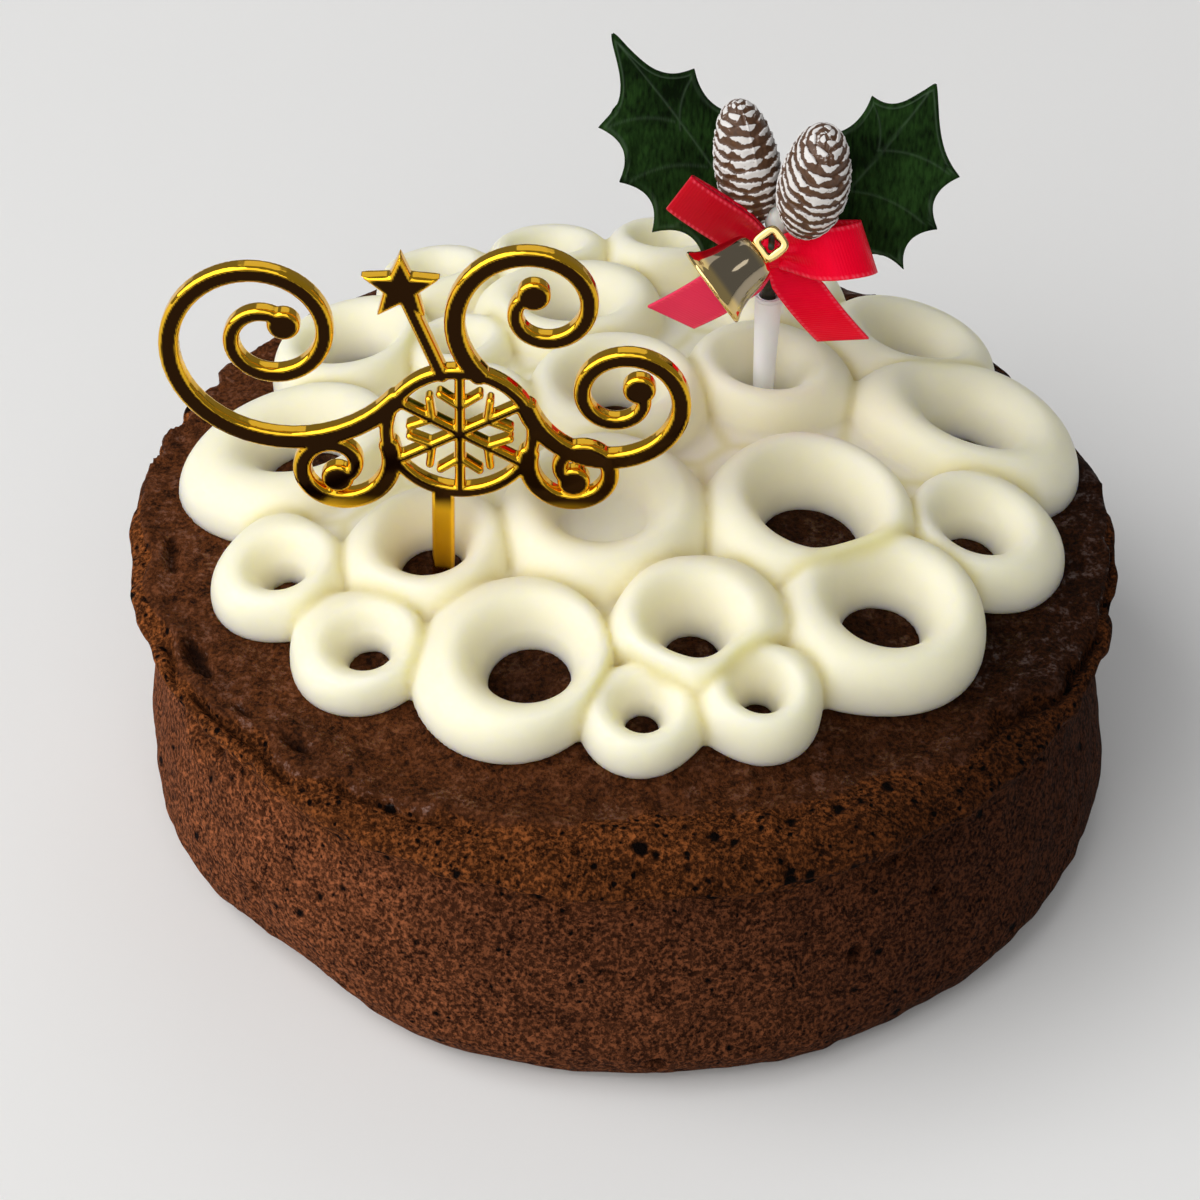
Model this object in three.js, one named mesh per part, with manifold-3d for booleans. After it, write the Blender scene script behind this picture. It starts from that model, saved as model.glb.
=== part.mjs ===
// Round chocolate Christmas cake with poured cream rings, a gold scrollwork topper and a holly pick.
// Millimetres, +Z up. The origin is the middle of the cake's flat base; -Y is the front.
import * as THREE from "three";
import { mergeVertices } from "three/addons/utils/BufferGeometryUtils.js";
import Module from "manifold-3d";

const wasm = await Module();
wasm.setup();

// Cake: a 15 cm sponge with a lip that overhangs a waist, and a wall that widens again towards the foot
const LIP_RADIUS = 73.6;
const LIP_HEIGHT = 41;
const LIP_TILT = 2.2;
const LIP_FLANK = 3;
const CREASE_RADIUS = 68.6;
const CREASE_HEIGHT = 33;
const BULGE_RADIUS = 72.2;
const BULGE_HEIGHT = 9;
const WALL_CURVE = 1.5;
const FOOT_RADIUS = 67.2;
const FOOT_SHIFT = 1.3;
// Dent in the foot: its angle and half width in degrees, its depth and its height
const DENT_AT = -133;
const DENT_HALF = 13;
const DENT_DEPTH = 4.5;
const DENT_HEIGHT = 16;
const DOME_HEIGHT = 54.5;
const DOME_BACK = 9;
const DOME_RADIUS = 200;
const SHOULDER_RADIUS = 58;
const AROUND = 38;

// Clearance left between two pieces that touch
const GAP = 0.3;

// Cream rings: x, y, outer radius, hole radius, height, stretch, turn in degrees, hole's own shift in x
const RINGS = [
  [2.7, -47.3, 8.2, 2.4, 7, 1, 0, 0.4],
  [19.4, -44, 8.2, 2.4, 9, 1, 0, -0.4],
  [-15.1, -39.7, 14, 5.8, 8.4, 1, 0, 2.4],
  [-36.6, -34.7, 9.7, 2.9, 6.6, 1, 0, 1.7],
  [-49.5, -19.5, 9.8, 2.7, 7.4, 1, 0, 1.8],
  [-27.9, -19.2, 11.7, 4.6, 8.4, 1, 0, 0.5],
  [10.7, -35, 12.3, 4, 10.5, 1, 0, -0.9],
  [36.5, -27.2, 14.6, 5.8, 9.8, 1, 0, 0],
  [26.4, -11.1, 14.9, 7.2, 10.5, 1, 0, 0.3],
  [52.2, -6.9, 12.1, 4.2, 8.3, 1, 0, -2.2],
  [51, 16, 15.5, 5, 9.5, 1.13, -20, -0.5],
  [42.5, 35, 13, 4, 9, 1.1, -25, 0],
  [19.9, 20, 12.4, 4.2, 9, 1, 0, 0],
  [-3.3, -13.5, 14.5, 0, 10, 1, 0, 0],
  [-49.8, 5.5, 14.2, 5, 8.5, 1.22, 0, 2],
  [-42, 30, 13, 5.5, 8.5, 1, 0, 0],
  [-9, 36.5, 14, 5, 9, 1, 0, 0],
  [-13.5, 55, 10, 3, 9, 1, 0, 0],
  [5, 56.5, 9.5, 3, 10, 1, 0, 0],
  [-31, 50, 9.5, 3, 8.5, 1, 0, 0],
  [22, 46, 11.5, 3.5, 9, 1, 0, 0],
  [-2, 12.5, 14, 5, 9.5, 1, 0, 0],
  [-24, 8, 11.5, 4, 9, 1, 0, 0],
  [-26, 27, 8.5, 2.4, 7.5, 1, 0, 0],
];
const RING_ROOT = 3;
const WEB_RIM = [14, 15, 19, 17, 18, 20, 11, 10, 9, 7, 1, 0, 2, 3, 4];
const WEB_THICK = 3.6;
const HOLE_MARGIN = 1.2;
const CREAM_ABOVE = 15;
const CRATER_RADIUS = 4;
const CRATER_FLOOR = 4.2;

// Gold topper, measured from the middle of its stick where the ring begins
const TOPPER_AT = [-25.8, -19.2, 64];
const TOPPER_THICK = 2.4;
const TOPPER_DEPTH = 28;
const TOPPER_STICK = 3.2;
const TOPPER_JOIN = 2.6;
const TOPPER_RING = [2.4, 12.3, 10.2];
const STROKE_WIDE = 3;
const STROKE_FINE = 2;
const BEAD_RADIUS = 2.3;
// Snowflake: bar and twig widths, where a twig leaves its bar and ends, and how far it turns
const FLAKE_BAR = 1.5;
const FLAKE_FINE = 1.2;
const FLAKE_TWIG = [4.4, 7];
const FLAKE_TURN = 0.4;
// Scrolls: middle x, middle z, start angle on the ring in degrees, sweep in degrees, end radius
const SCROLLS = [
  [-24, 27.5, 150, -650, 3.2],
  [24.5, 19, 25, 560, 3],
  [13.5, 33, 75, -480, 2.8],
  [-15, 6, 195, -470, 2.2],
  [19, 6.5, -20, 450, 2.2],
];
const STAR_AT = [-5.5, 36.2];
const STAR_OUTER = 5.6;
const STAR_INNER = 2.5;

// Holly pick
const PICK_AT = [20, 20.5];
const PICK_TOP = 73.2;
const PICK_FOOT = 36;
const PICK_TOP_RADIUS = 2.05;
const PICK_FOOT_RADIUS = 1.05;
const PICK_BORE = 6;
const WIRE_RADIUS = 1.1;
const WIRE_TOP = 86.2;
const TWIG_RADIUS = 0.5;
const TWIG_END = [19.5, 9.9, 88.8];
const LEAF_THICK = 0.8;
const LEAF_LEAN = 0.3;
const LEAF_BASE = [22.5, 79];
const LEAF_SCALLOP = 0.26;
const LEAF_TIP_FADE = 1.6;
const LEAF_WAVE = 0.5;
const LEAF_RIPPLE = 7;
const LEAF_STEPS = 22;
// Spines in X and Z, with the depth of the scallop before it where it isn't the usual one
const LEAVES = {
  leaf_left: {
    base: [18.8, 80.6],
    tip: [-4.1, 109.9],
    lower: [[10.5, 76.9], [2.5, 81.8], [-2.5, 89.2], [-5.8, 96.9]],
    upper: [[16.5, 99], [7.8, 105.7, 0.2]],
  },
  leaf_right: {
    base: [22.2, 79.3],
    tip: [42.7, 104.2],
    lowerEnd: 0.12,
    lower: [[31, 76.9], [39.7, 77.5], [44.2, 83.8], [47, 91.4]],
    upper: [[24.5, 96.5], [33.6, 102.6, 0.2]],
  },
};
// Cones: middle, axis, radius, half length
const CONES = {
  cone_left: { at: [15.8, 21.6, 95.5], axis: [-0.2, 0.22, 0.955], radius: 4.7, half: 9.6 },
  cone_right: { at: [25.4, 16.8, 95.3], axis: [0.16, 0.22, 0.96], radius: 5, half: 9.3 },
};
const CONE_SPIRALS = 4;
const CONE_PITCH = 14;
const CONE_RELIEF = 0.05;
const CONE_TAPER = 0.1;
const GLUE_AT = [20.8, 18.6, 88];
const GLUE_RADII = [2.3, 2.4, 2.6];
const RIBBON_WIDE = 8;
const RIBBON_THICK = 0.6;
const KNOT_AT = [20.3, 17.5, 83];
const KNOT_RADII = [2.8, 1.5, 3];
// Bow loops: far end, width direction, front bulge, back bulge
const LOOPS = [
  { end: [6.1, 17.6, 92.7], wide: [0.425, -0.25, 0.87], front: 2.2, back: 1.6 },
  { end: [34, 16.6, 85], wide: [-0.35, 0.38, 0.86], front: 4.4, back: 1.6 },
];
// Bow tails: the two corners of the cut end
const TAILS = [
  [[2.2, 17.5, 72.4], [9.2, 17.5, 68.8]],
  [[35, 16.5, 68.6], [27.4, 16.5, 67.9]],
];
const TAIL_BULGE = 1.4;
const TAIL_BACK = 0.4;
const TAIL_PINCH = 0.45;
const TAIL_SPREAD = 1.6;
const BELL_CROWN = [17.9, 10.6, 87.4];
const BELL_AXIS = [0.785, 0.33, 0.52];
const BELL_MOUTH = 6.1;
const BELL_LENGTH = 8.6;
const BELL_WALL = 0.7;
const BELL_STEP = 0.1;
const HANGER_SIZE = 4.6;
const HANGER_HOLE = 1.9;
const HANGER_THICK = 2.4;

const vec = (a) => new THREE.Vector3(a[0], a[1], a[2]);
const rad = THREE.MathUtils.degToRad;

/** Geometry of shared vertices from arrays, with empty triangles left out. */
function indexed(points, faces) {
  const geometry = new THREE.BufferGeometry();
  const places = points.flatMap((p) => [p.x, p.y, p.z]);
  geometry.setAttribute("position", new THREE.Float32BufferAttribute(places, 3));
  geometry.setIndex(faces.flat());
  return geometry;
}

/** Closed solid for joining and cutting; turned right side out where needed. */
function solid(source) {
  const bare = source.clone();
  bare.deleteAttribute("normal");
  bare.deleteAttribute("uv");
  const merged = mergeVertices(bare, 1e-4);
  const vertProperties = new Float32Array(merged.attributes.position.array);
  const index = merged.index.array;
  const at = (i) => new THREE.Vector3().fromArray(vertProperties, 3 * i);
  const kept = [];
  let volume = 0;
  for (let t = 0; t < index.length; t += 3) {
    const [a, b, c] = [index[t], index[t + 1], index[t + 2]];
    if (a === b || b === c || c === a) continue;
    kept.push([a, b, c]);
    volume += at(a).dot(at(b).cross(at(c)));
  }
  const faces = volume < 0 ? kept.map(([a, b, c]) => [a, c, b]) : kept;
  const triVerts = new Uint32Array(faces.flat());
  return new wasm.Manifold(new wasm.Mesh({ numProp: 3, vertProperties, triVerts }));
}

/** Geometry of a joined or cut solid. */
function shape(body) {
  const mesh = body.getMesh();
  const geometry = new THREE.BufferGeometry();
  geometry.setAttribute("position", new THREE.BufferAttribute(new Float32Array(mesh.vertProperties), 3));
  geometry.setIndex(new THREE.BufferAttribute(new Uint32Array(mesh.triVerts), 1));
  geometry.computeVertexNormals();
  return geometry;
}

const join = (bodies) => bodies.reduce((all, one) => all.add(one));

function node(name, body, colour, roughness, metalness = 0) {
  const material = new THREE.MeshStandardMaterial({ color: colour, roughness, metalness });
  const mesh = new THREE.Mesh(shape(body), material);
  mesh.name = name;
  return mesh;
}

// Cake

const domeAt = (x, y) => DOME_HEIGHT - (x * x + (y - DOME_BACK) ** 2) / (2 * DOME_RADIUS);

function domeFrame(x, y, turn = 0) {
  const normal = new THREE.Vector3(x / DOME_RADIUS, (y - DOME_BACK) / DOME_RADIUS, 1).normalize();
  const along = new THREE.Vector3(Math.cos(turn), Math.sin(turn), 0);
  along.addScaledVector(normal, -along.dot(normal)).normalize();
  const across = new THREE.Vector3().crossVectors(normal, along);
  return new THREE.Matrix4().makeBasis(along, across, normal).setPosition(x, y, domeAt(x, y));
}

/** Slow waver round the cake: sines of 3, 5 and 9 turns. */
function lump(a, k) {
  return 0.5 * Math.sin(3 * a + 0.8 + k) + 0.35 * Math.sin(5 * a + 2.1 - k) + 0.25 * Math.sin(9 * a + 2 * k);
}

const lipAt = (a) => LIP_HEIGHT + LIP_TILT * Math.sin(a) + LIP_FLANK * Math.cos(a) ** 2;

function dent(a, z) {
  const turn = Math.atan2(Math.sin(a - rad(DENT_AT)), Math.cos(a - rad(DENT_AT)));
  return DENT_DEPTH * Math.exp(-((turn / rad(DENT_HALF)) ** 2)) * Math.max(0, 1 - z / DENT_HEIGHT);
}

function ringPoint(a, radius, z) {
  const shift = FOOT_SHIFT * Math.max(0, 1 - z / LIP_HEIGHT);
  const r = radius - dent(a, z);
  return new THREE.Vector3(shift + r * Math.cos(a), r * Math.sin(a), z);
}

/** Rows of the sides from the foot up to the lip. */
function sideRows() {
  const low = [[FOOT_RADIUS - 5, 0], [FOOT_RADIUS, 0.5], [FOOT_RADIUS + 2.8, 2.6], [FOOT_RADIUS + 4.6, 6]];
  for (const t of [0, 0.4, 0.75, 1]) {
    const radius = BULGE_RADIUS - (BULGE_RADIUS - CREASE_RADIUS) * t ** WALL_CURVE;
    low.push([radius, BULGE_HEIGHT + (CREASE_HEIGHT - BULGE_HEIGHT) * t]);
  }
  const rows = low.map(([r, z]) => (a) => ringPoint(a, r + (z > 0 ? 0.5 * lump(a, 0.1 * z) : 0), z));
  const high = [[0.3, 0.3], [0.62, 0.66], [0.92, 1]];
  for (const [rise, out] of high) {
    const radius = CREASE_RADIUS + (LIP_RADIUS - CREASE_RADIUS) * out;
    rows.push((a) => ringPoint(a, radius + 0.4 * lump(a, 3 + rise),
      CREASE_HEIGHT + (lipAt(a) - CREASE_HEIGHT) * rise));
  }
  return rows;
}

/** Rows of the top from the lip in to the middle, raised by lift. */
function topRows(lift) {
  const rows = [];
  for (const turn of [70, 45, 22, 0]) {
    rows.push((a) => {
      const r = SHOULDER_RADIUS + (LIP_RADIUS - SHOULDER_RADIUS) * Math.sin(rad(turn));
      const inner = domeAt(SHOULDER_RADIUS * Math.cos(a), SHOULDER_RADIUS * Math.sin(a));
      const z = lipAt(a) + (inner - lipAt(a)) * Math.cos(rad(turn));
      const ripple = 0.6 * Math.sin(rad(turn)) * lump(2 * a, turn);
      return new THREE.Vector3(r * Math.cos(a), r * Math.sin(a), z + ripple + lift);
    });
  }
  for (const r of [39, 19]) {
    rows.push((a) => {
      const [x, y] = [r * Math.cos(a), r * Math.sin(a)];
      return new THREE.Vector3(x, y, domeAt(x, y) + lift);
    });
  }
  return rows;
}

/** Closed round solid through rows of points, from a lowest to a topmost middle point. */
function polarSolid(rows, lowest, topmost) {
  const points = [lowest];
  const faces = [];
  const at = (i, j) => 1 + i * AROUND + (j % AROUND);
  rows.forEach((row) => {
    for (let j = 0; j < AROUND; j += 1) points.push(row((2 * Math.PI * j) / AROUND));
  });
  points.push(topmost);
  const top = points.length - 1;
  for (let j = 0; j < AROUND; j += 1) {
    faces.push([0, at(0, j + 1), at(0, j)]);
    faces.push([at(rows.length - 1, j), at(rows.length - 1, j + 1), top]);
    for (let i = 0; i + 1 < rows.length; i += 1) {
      faces.push([at(i, j), at(i, j + 1), at(i + 1, j + 1)]);
      faces.push([at(i, j), at(i + 1, j + 1), at(i + 1, j)]);
    }
  }
  return solid(indexed(points, faces));
}

function lathe(profile, segments) {
  const geometry = new THREE.LatheGeometry(profile.map(([r, z]) => new THREE.Vector2(r, z)), segments);
  return geometry.rotateX(Math.PI / 2);
}

function pickStick(extra, bored) {
  const rise = PICK_TOP - PICK_FOOT;
  const profile = [[0, -extra], [PICK_FOOT_RADIUS * 0.6 + extra, -extra], [PICK_FOOT_RADIUS + extra, 2.4],
    [PICK_TOP_RADIUS + extra, rise]];
  if (bored) {
    const bore = WIRE_RADIUS + GAP;
    profile.push([bore, rise], [bore, rise - PICK_BORE], [0, rise - PICK_BORE]);
  } else {
    profile.push([0, rise]);
  }
  return solid(lathe(profile, 16).translate(PICK_AT[0], PICK_AT[1], PICK_FOOT));
}

function cake() {
  const rows = [...sideRows(), ...topRows(0)];
  const whole = polarSolid(rows, new THREE.Vector3(FOOT_SHIFT, 0, 0), new THREE.Vector3(0, 0, domeAt(0, 0)));
  const slotDepth = TOPPER_DEPTH + 2 * GAP;
  const slot = new THREE.BoxGeometry(TOPPER_STICK + 2 * GAP, TOPPER_THICK + 2 * GAP, slotDepth);
  slot.translate(TOPPER_AT[0], TOPPER_AT[1], TOPPER_AT[2] + GAP - slotDepth / 2);
  return whole.subtract(solid(slot)).subtract(pickStick(GAP, false));
}

/** Solid under the cream, raised by lift over the cake's top. */
function underCream(lift) {
  const [r, z] = [CREASE_RADIUS, CREASE_HEIGHT];
  const foot = (a) => new THREE.Vector3(r * Math.cos(a), r * Math.sin(a), z);
  return polarSolid([foot, ...topRows(lift)], new THREE.Vector3(0, 0, CREASE_HEIGHT),
    new THREE.Vector3(0, 0, domeAt(0, 0) + lift));
}

// Cream

function creamRing([x, y, outer, hole, height, stretch, turn, lean]) {
  const crestSteps = outer > 13 ? 5 : 4;
  const inner = hole > 0 ? hole : CRATER_RADIUS;
  const middle = (outer + inner) / 2;
  const half = (outer - inner) / 2;
  const profile = [[hole, -RING_ROOT], [outer, -RING_ROOT]];
  const floor = hole > 0 ? 0 : CRATER_FLOOR;
  for (let k = 0; k <= crestSteps; k += 1) {
    const a = (Math.PI * k) / crestSteps;
    const base = a > Math.PI / 2 ? floor : 0;
    profile.push([middle + half * Math.cos(a), base + (height - base) * Math.sin(a)]);
  }
  profile.push([hole, hole > 0 ? -RING_ROOT : floor]);
  const geometry = lathe(profile, outer > 13 ? 15 : 12);
  const place = geometry.attributes.position;
  for (let i = 0; i < place.count; i += 1) {
    const inward = (outer - Math.hypot(place.getX(i), place.getY(i))) / (outer - inner);
    place.setX(i, place.getX(i) + lean * inward);
  }
  geometry.scale(stretch, 1, 1);
  return solid(geometry.applyMatrix4(domeFrame(x, y, rad(turn))));
}

function ringHole([x, y, , hole, , stretch, turn, lean]) {
  const radius = hole + HOLE_MARGIN;
  const plug = new THREE.CylinderGeometry(radius, radius, 2 * CREAM_ABOVE, 8).rotateX(Math.PI / 2);
  plug.translate(lean, 0, 0).scale(stretch, 1, 1);
  return solid(plug.applyMatrix4(domeFrame(x, y, rad(turn))));
}

function cream() {
  const rim = new THREE.Shape(WEB_RIM.map((i) => new THREE.Vector2(RINGS[i][0], RINGS[i][1])));
  const depth = DOME_HEIGHT + CREAM_ABOVE - CREASE_HEIGHT;
  const column = new THREE.ExtrudeGeometry(rim, { depth, bevelEnabled: false });
  const block = solid(column.translate(0, 0, CREASE_HEIGHT));
  let web = block.intersect(underCream(WEB_THICK));
  RINGS.filter((ring) => ring[3] > 0).forEach((ring) => {
    web = web.subtract(ringHole(ring));
  });
  return join([web, ...RINGS.map(creamRing)]).subtract(underCream(GAP));
}

// Gold topper

/** Flat stroke along a line of points, its width running from wide to fine, with a round end. */
function stroke(line, wide, fine) {
  const left = [];
  const right = [];
  line.forEach((p, i) => {
    const ahead = line[Math.min(i + 1, line.length - 1)];
    const behind = line[Math.max(i - 1, 0)];
    const side = new THREE.Vector2(behind.y - ahead.y, ahead.x - behind.x).normalize();
    const half = (wide + ((fine - wide) * i) / (line.length - 1)) / 2;
    left.push(p.clone().addScaledVector(side, half));
    right.push(p.clone().addScaledVector(side, -half));
  });
  return plate(new THREE.Shape([...left, ...right.reverse()]));
}

/** Upright plate of an outline drawn in X and Z. */
function plate(outline, steps = 10) {
  const settings = { depth: TOPPER_THICK, bevelEnabled: false, curveSegments: steps };
  const geometry = new THREE.ExtrudeGeometry(outline, settings);
  return solid(geometry.translate(0, 0, -TOPPER_THICK / 2).rotateX(Math.PI / 2));
}

function disc(x, z, radius, steps) {
  const outline = new THREE.Shape();
  outline.absarc(x, z, radius, 0, 2 * Math.PI, false);
  return plate(outline, steps);
}

function scroll([x, z, from, sweep, end]) {
  const start = new THREE.Vector2(TOPPER_RING[0] + TOPPER_RING[2] * Math.cos(rad(from)),
    TOPPER_RING[1] + TOPPER_RING[2] * Math.sin(rad(from)));
  const middle = new THREE.Vector2(x, z);
  const arm = start.clone().sub(middle);
  const steps = Math.round(Math.abs(sweep) / 26);
  const line = [];
  for (let k = 0; k <= steps; k += 1) {
    const t = k / steps;
    const radius = arm.length() * (end / arm.length()) ** t;
    const a = arm.angle() + rad(sweep) * t;
    line.push(new THREE.Vector2(x + radius * Math.cos(a), z + radius * Math.sin(a)));
  }
  const tip = line[steps];
  return [stroke(line, STROKE_WIDE, STROKE_FINE), disc(tip.x, tip.y, BEAD_RADIUS, 6)];
}

function snowflake() {
  const [x, z, radius] = TOPPER_RING;
  const bars = [];
  for (let k = 0; k < 6; k += 1) {
    const a = rad(60 * k + 90);
    const at = (r, turn) => new THREE.Vector2(x + r * Math.cos(a + turn), z + r * Math.sin(a + turn));
    bars.push(stroke([at(0, 0), at(radius, 0)], FLAKE_BAR, FLAKE_BAR));
    for (const turn of [FLAKE_TURN, -FLAKE_TURN]) {
      bars.push(stroke([at(FLAKE_TWIG[1], turn), at(FLAKE_TWIG[0], 0)], FLAKE_FINE, FLAKE_FINE));
    }
  }
  return bars;
}

function star() {
  const points = [];
  for (let k = 0; k < 10; k += 1) {
    const r = k % 2 ? STAR_INNER : STAR_OUTER;
    const a = rad(90 + 36 * k);
    points.push(new THREE.Vector2(STAR_AT[0] + r * Math.cos(a), STAR_AT[1] + r * Math.sin(a)));
  }
  const [x, z, radius] = TOPPER_RING;
  const stem = [new THREE.Vector2(x - 2.4, z + radius - 0.6), new THREE.Vector2(STAR_AT[0], STAR_AT[1])];
  return [plate(new THREE.Shape(points)), stroke(stem, STROKE_FINE, STROKE_FINE)];
}

function topper() {
  const [x, z, radius] = TOPPER_RING;
  const band = disc(x, z, radius + STROKE_FINE / 2, 15).subtract(disc(x, z, radius - STROKE_FINE / 2, 15));
  const half = TOPPER_STICK / 2;
  const corners = [[-half, -TOPPER_DEPTH], [half, -TOPPER_DEPTH], [half, TOPPER_JOIN], [-half, TOPPER_JOIN]];
  const bar = new THREE.Shape(corners.map(([u, w]) => new THREE.Vector2(u, w)));
  return join([band, plate(bar), ...snowflake(), ...star(), ...SCROLLS.flatMap(scroll)]);
}

// Holly pick

/** Rod between two points. */
function rod(from, to, radius, sides) {
  const a = vec(from);
  const b = vec(to);
  const geometry = new THREE.CylinderGeometry(radius, radius, a.distanceTo(b), sides);
  const along = b.clone().sub(a).normalize();
  const turn = new THREE.Quaternion().setFromUnitVectors(new THREE.Vector3(0, 1, 0), along);
  return solid(geometry.applyQuaternion(turn).translate((a.x + b.x) / 2, (a.y + b.y) / 2, (a.z + b.z) / 2));
}

function wire(extra) {
  const foot = [PICK_AT[0], PICK_AT[1], PICK_TOP - PICK_BORE + GAP];
  const head = [PICK_AT[0], PICK_AT[1], WIRE_TOP + extra];
  const bend = [PICK_AT[0], PICK_AT[1], WIRE_TOP - 0.6];
  return rod(foot, head, WIRE_RADIUS + extra, 12).add(rod(bend, TWIG_END, TWIG_RADIUS + extra, 8));
}

function ellipsoid(at, radii, turn = new THREE.Quaternion(), around = 10, rows = 6) {
  const geometry = new THREE.SphereGeometry(1, around, rows).rotateX(Math.PI / 2).scale(...radii);
  return solid(geometry.applyQuaternion(turn).translate(...at));
}

const UP = new THREE.Vector3(0, 0, 1);
const uprightTo = (axis) => new THREE.Quaternion().setFromUnitVectors(UP, vec(axis).normalize());

function coneHull({ at, axis, radius, half }) {
  return ellipsoid(at, [radius * 1.06 + GAP, radius * 1.06 + GAP, half + GAP], uprightTo(axis), 12, 7);
}

/** Cone with rows of raised scales set in a spiral. */
function cone({ at, axis, radius, half }) {
  const geometry = new THREE.SphereGeometry(1, 20, 13).rotateX(Math.PI / 2);
  const place = geometry.attributes.position;
  const p = new THREE.Vector3();
  for (let i = 0; i < place.count; i += 1) {
    p.fromBufferAttribute(place, i);
    const around = Math.atan2(p.y, p.x);
    const spiral = CONE_SPIRALS * around;
    const scale = Math.cos(spiral + CONE_PITCH * p.z) * Math.cos(spiral - CONE_PITCH * p.z);
    const flare = 1 + (CONE_RELIEF * scale - CONE_TAPER * p.z) * (1 - p.z * p.z);
    place.setXYZ(i, radius * p.x * flare, radius * p.y * flare, half * p.z);
  }
  return solid(geometry.applyQuaternion(uprightTo(axis)).translate(...at));
}

/** Spines joined by hollow scallops, as points from the leaf's base to its tip. */
function leafEdge(base, spines, tip, inward, endDepth = LEAF_SCALLOP) {
  const marks = [base, ...spines, [...tip, endDepth]];
  const stops = marks.map(([x, z]) => new THREE.Vector2(x, z));
  const steps = LEAF_STEPS / (stops.length - 1);
  const edge = [stops[0]];
  for (let s = 0; s + 1 < stops.length; s += 1) {
    const chord = stops[s + 1].clone().sub(stops[s]);
    const depth = marks[s + 1][2] ?? LEAF_SCALLOP;
    const side = new THREE.Vector2(-chord.y, chord.x).multiplyScalar(depth * inward);
    const first = Math.round(s * steps);
    const last = Math.round((s + 1) * steps);
    const fade = s + 2 < stops.length ? 1 : LEAF_TIP_FADE;
    for (let k = 1; k <= last - first; k += 1) {
      const t = k / (last - first);
      edge.push(stops[s].clone().addScaledVector(chord, t).addScaledVector(side, 4 * t * (1 - t) ** fade));
    }
  }
  return edge;
}

/** Thin solid on both sides of a grid of points, both faces split alike. */
function slab(grid, push) {
  const rows = grid.length;
  const columns = grid[0].length;
  const points = [];
  const faces = [];
  const at = (side, i, j) => side * rows * columns + i * columns + j;
  for (const sign of [1, -1]) {
    grid.forEach((row, i) => row.forEach((p, j) => points.push(p.clone().addScaledVector(push(i, j), sign))));
  }
  const quad = (a, b, c, d) => faces.push([a, b, c], [a, c, d]);
  for (let i = 0; i + 1 < rows; i += 1) {
    for (let j = 0; j + 1 < columns; j += 1) {
      quad(at(0, i, j), at(0, i, j + 1), at(0, i + 1, j + 1), at(0, i + 1, j));
      faces.push([at(1, i, j), at(1, i + 1, j + 1), at(1, i, j + 1)]);
      faces.push([at(1, i, j), at(1, i + 1, j), at(1, i + 1, j + 1)]);
    }
    quad(at(1, i, 0), at(0, i, 0), at(0, i + 1, 0), at(1, i + 1, 0));
    quad(at(0, i, columns - 1), at(1, i, columns - 1), at(1, i + 1, columns - 1), at(0, i + 1, columns - 1));
  }
  for (let j = 0; j + 1 < columns; j += 1) {
    quad(at(0, 0, j), at(1, 0, j), at(1, 0, j + 1), at(0, 0, j + 1));
    quad(at(1, rows - 1, j), at(0, rows - 1, j), at(0, rows - 1, j + 1), at(1, rows - 1, j + 1));
  }
  return solid(indexed(points, faces));
}

function leaf({ base, tip, lower, upper, lowerEnd }) {
  const rightward = tip[0] > base[0] ? 1 : -1;
  const edgeA = leafEdge(base, lower, tip, rightward, lowerEnd);
  const edgeB = leafEdge(base, upper, tip, -rightward);
  const leanAt = (z) => LEAF_BASE[0] + LEAF_LEAN * (z - LEAF_BASE[1]);
  const onPlane = (q, wave) => new THREE.Vector3(q.x, leanAt(q.y) + wave, q.y);
  const foot = new THREE.Vector2(...base);
  const head = new THREE.Vector2(...tip);
  const grid = edgeA.map((a, i) => {
    const u = 0.04 + (0.94 * i) / LEAF_STEPS;
    const rib = foot.clone().lerp(head, u);
    const b = edgeB[i];
    const wave = (v) => LEAF_WAVE * v * v * Math.sin(LEAF_RIPPLE * u);
    return [onPlane(a, wave(1)), onPlane(a.clone().lerp(rib, 0.5), wave(0.5)), onPlane(rib, 0),
      onPlane(b.clone().lerp(rib, 0.5), wave(0.5)), onPlane(b, wave(1))];
  });
  const normal = new THREE.Vector3(0, -1, LEAF_LEAN).normalize().multiplyScalar(LEAF_THICK / 2);
  return slab(grid, () => normal);
}

/** Ribbon loop: a drop-shaped band drawn out along the ribbon's width. */
function bowLoop({ end, wide, front, back }) {
  const across = vec(wide).normalize();
  const reach = vec(end).sub(vec(KNOT_AT));
  const length = reach.length();
  reach.normalize();
  const out = new THREE.Vector3().crossVectors(reach, across).normalize();
  if (out.y > 0) out.negate();
  const steps = 16;
  const ring = (inset) => {
    const points = [];
    for (let k = 0; k < steps; k += 1) {
      const a = (2 * Math.PI * k) / steps;
      const s = (length / 2 - inset) * (1 - Math.cos(a)) + inset;
      const swell = 0.45 + 0.55 * Math.min(1, s / (0.6 * length));
      const bulge = (Math.sin(a) > 0 ? front : back) - inset;
      points.push(new THREE.Vector2(s, Math.max(0.1, bulge) * Math.sin(a) * swell));
    }
    return points;
  };
  const outline = new THREE.Shape(ring(0));
  outline.holes.push(new THREE.Path(ring(RIBBON_THICK).reverse()));
  const band = new THREE.ExtrudeGeometry(outline, { depth: RIBBON_WIDE, bevelEnabled: false });
  band.translate(0, 0, -RIBBON_WIDE / 2);
  return solid(band.applyMatrix4(new THREE.Matrix4().makeBasis(reach, out, across).setPosition(...KNOT_AT)));
}

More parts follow.
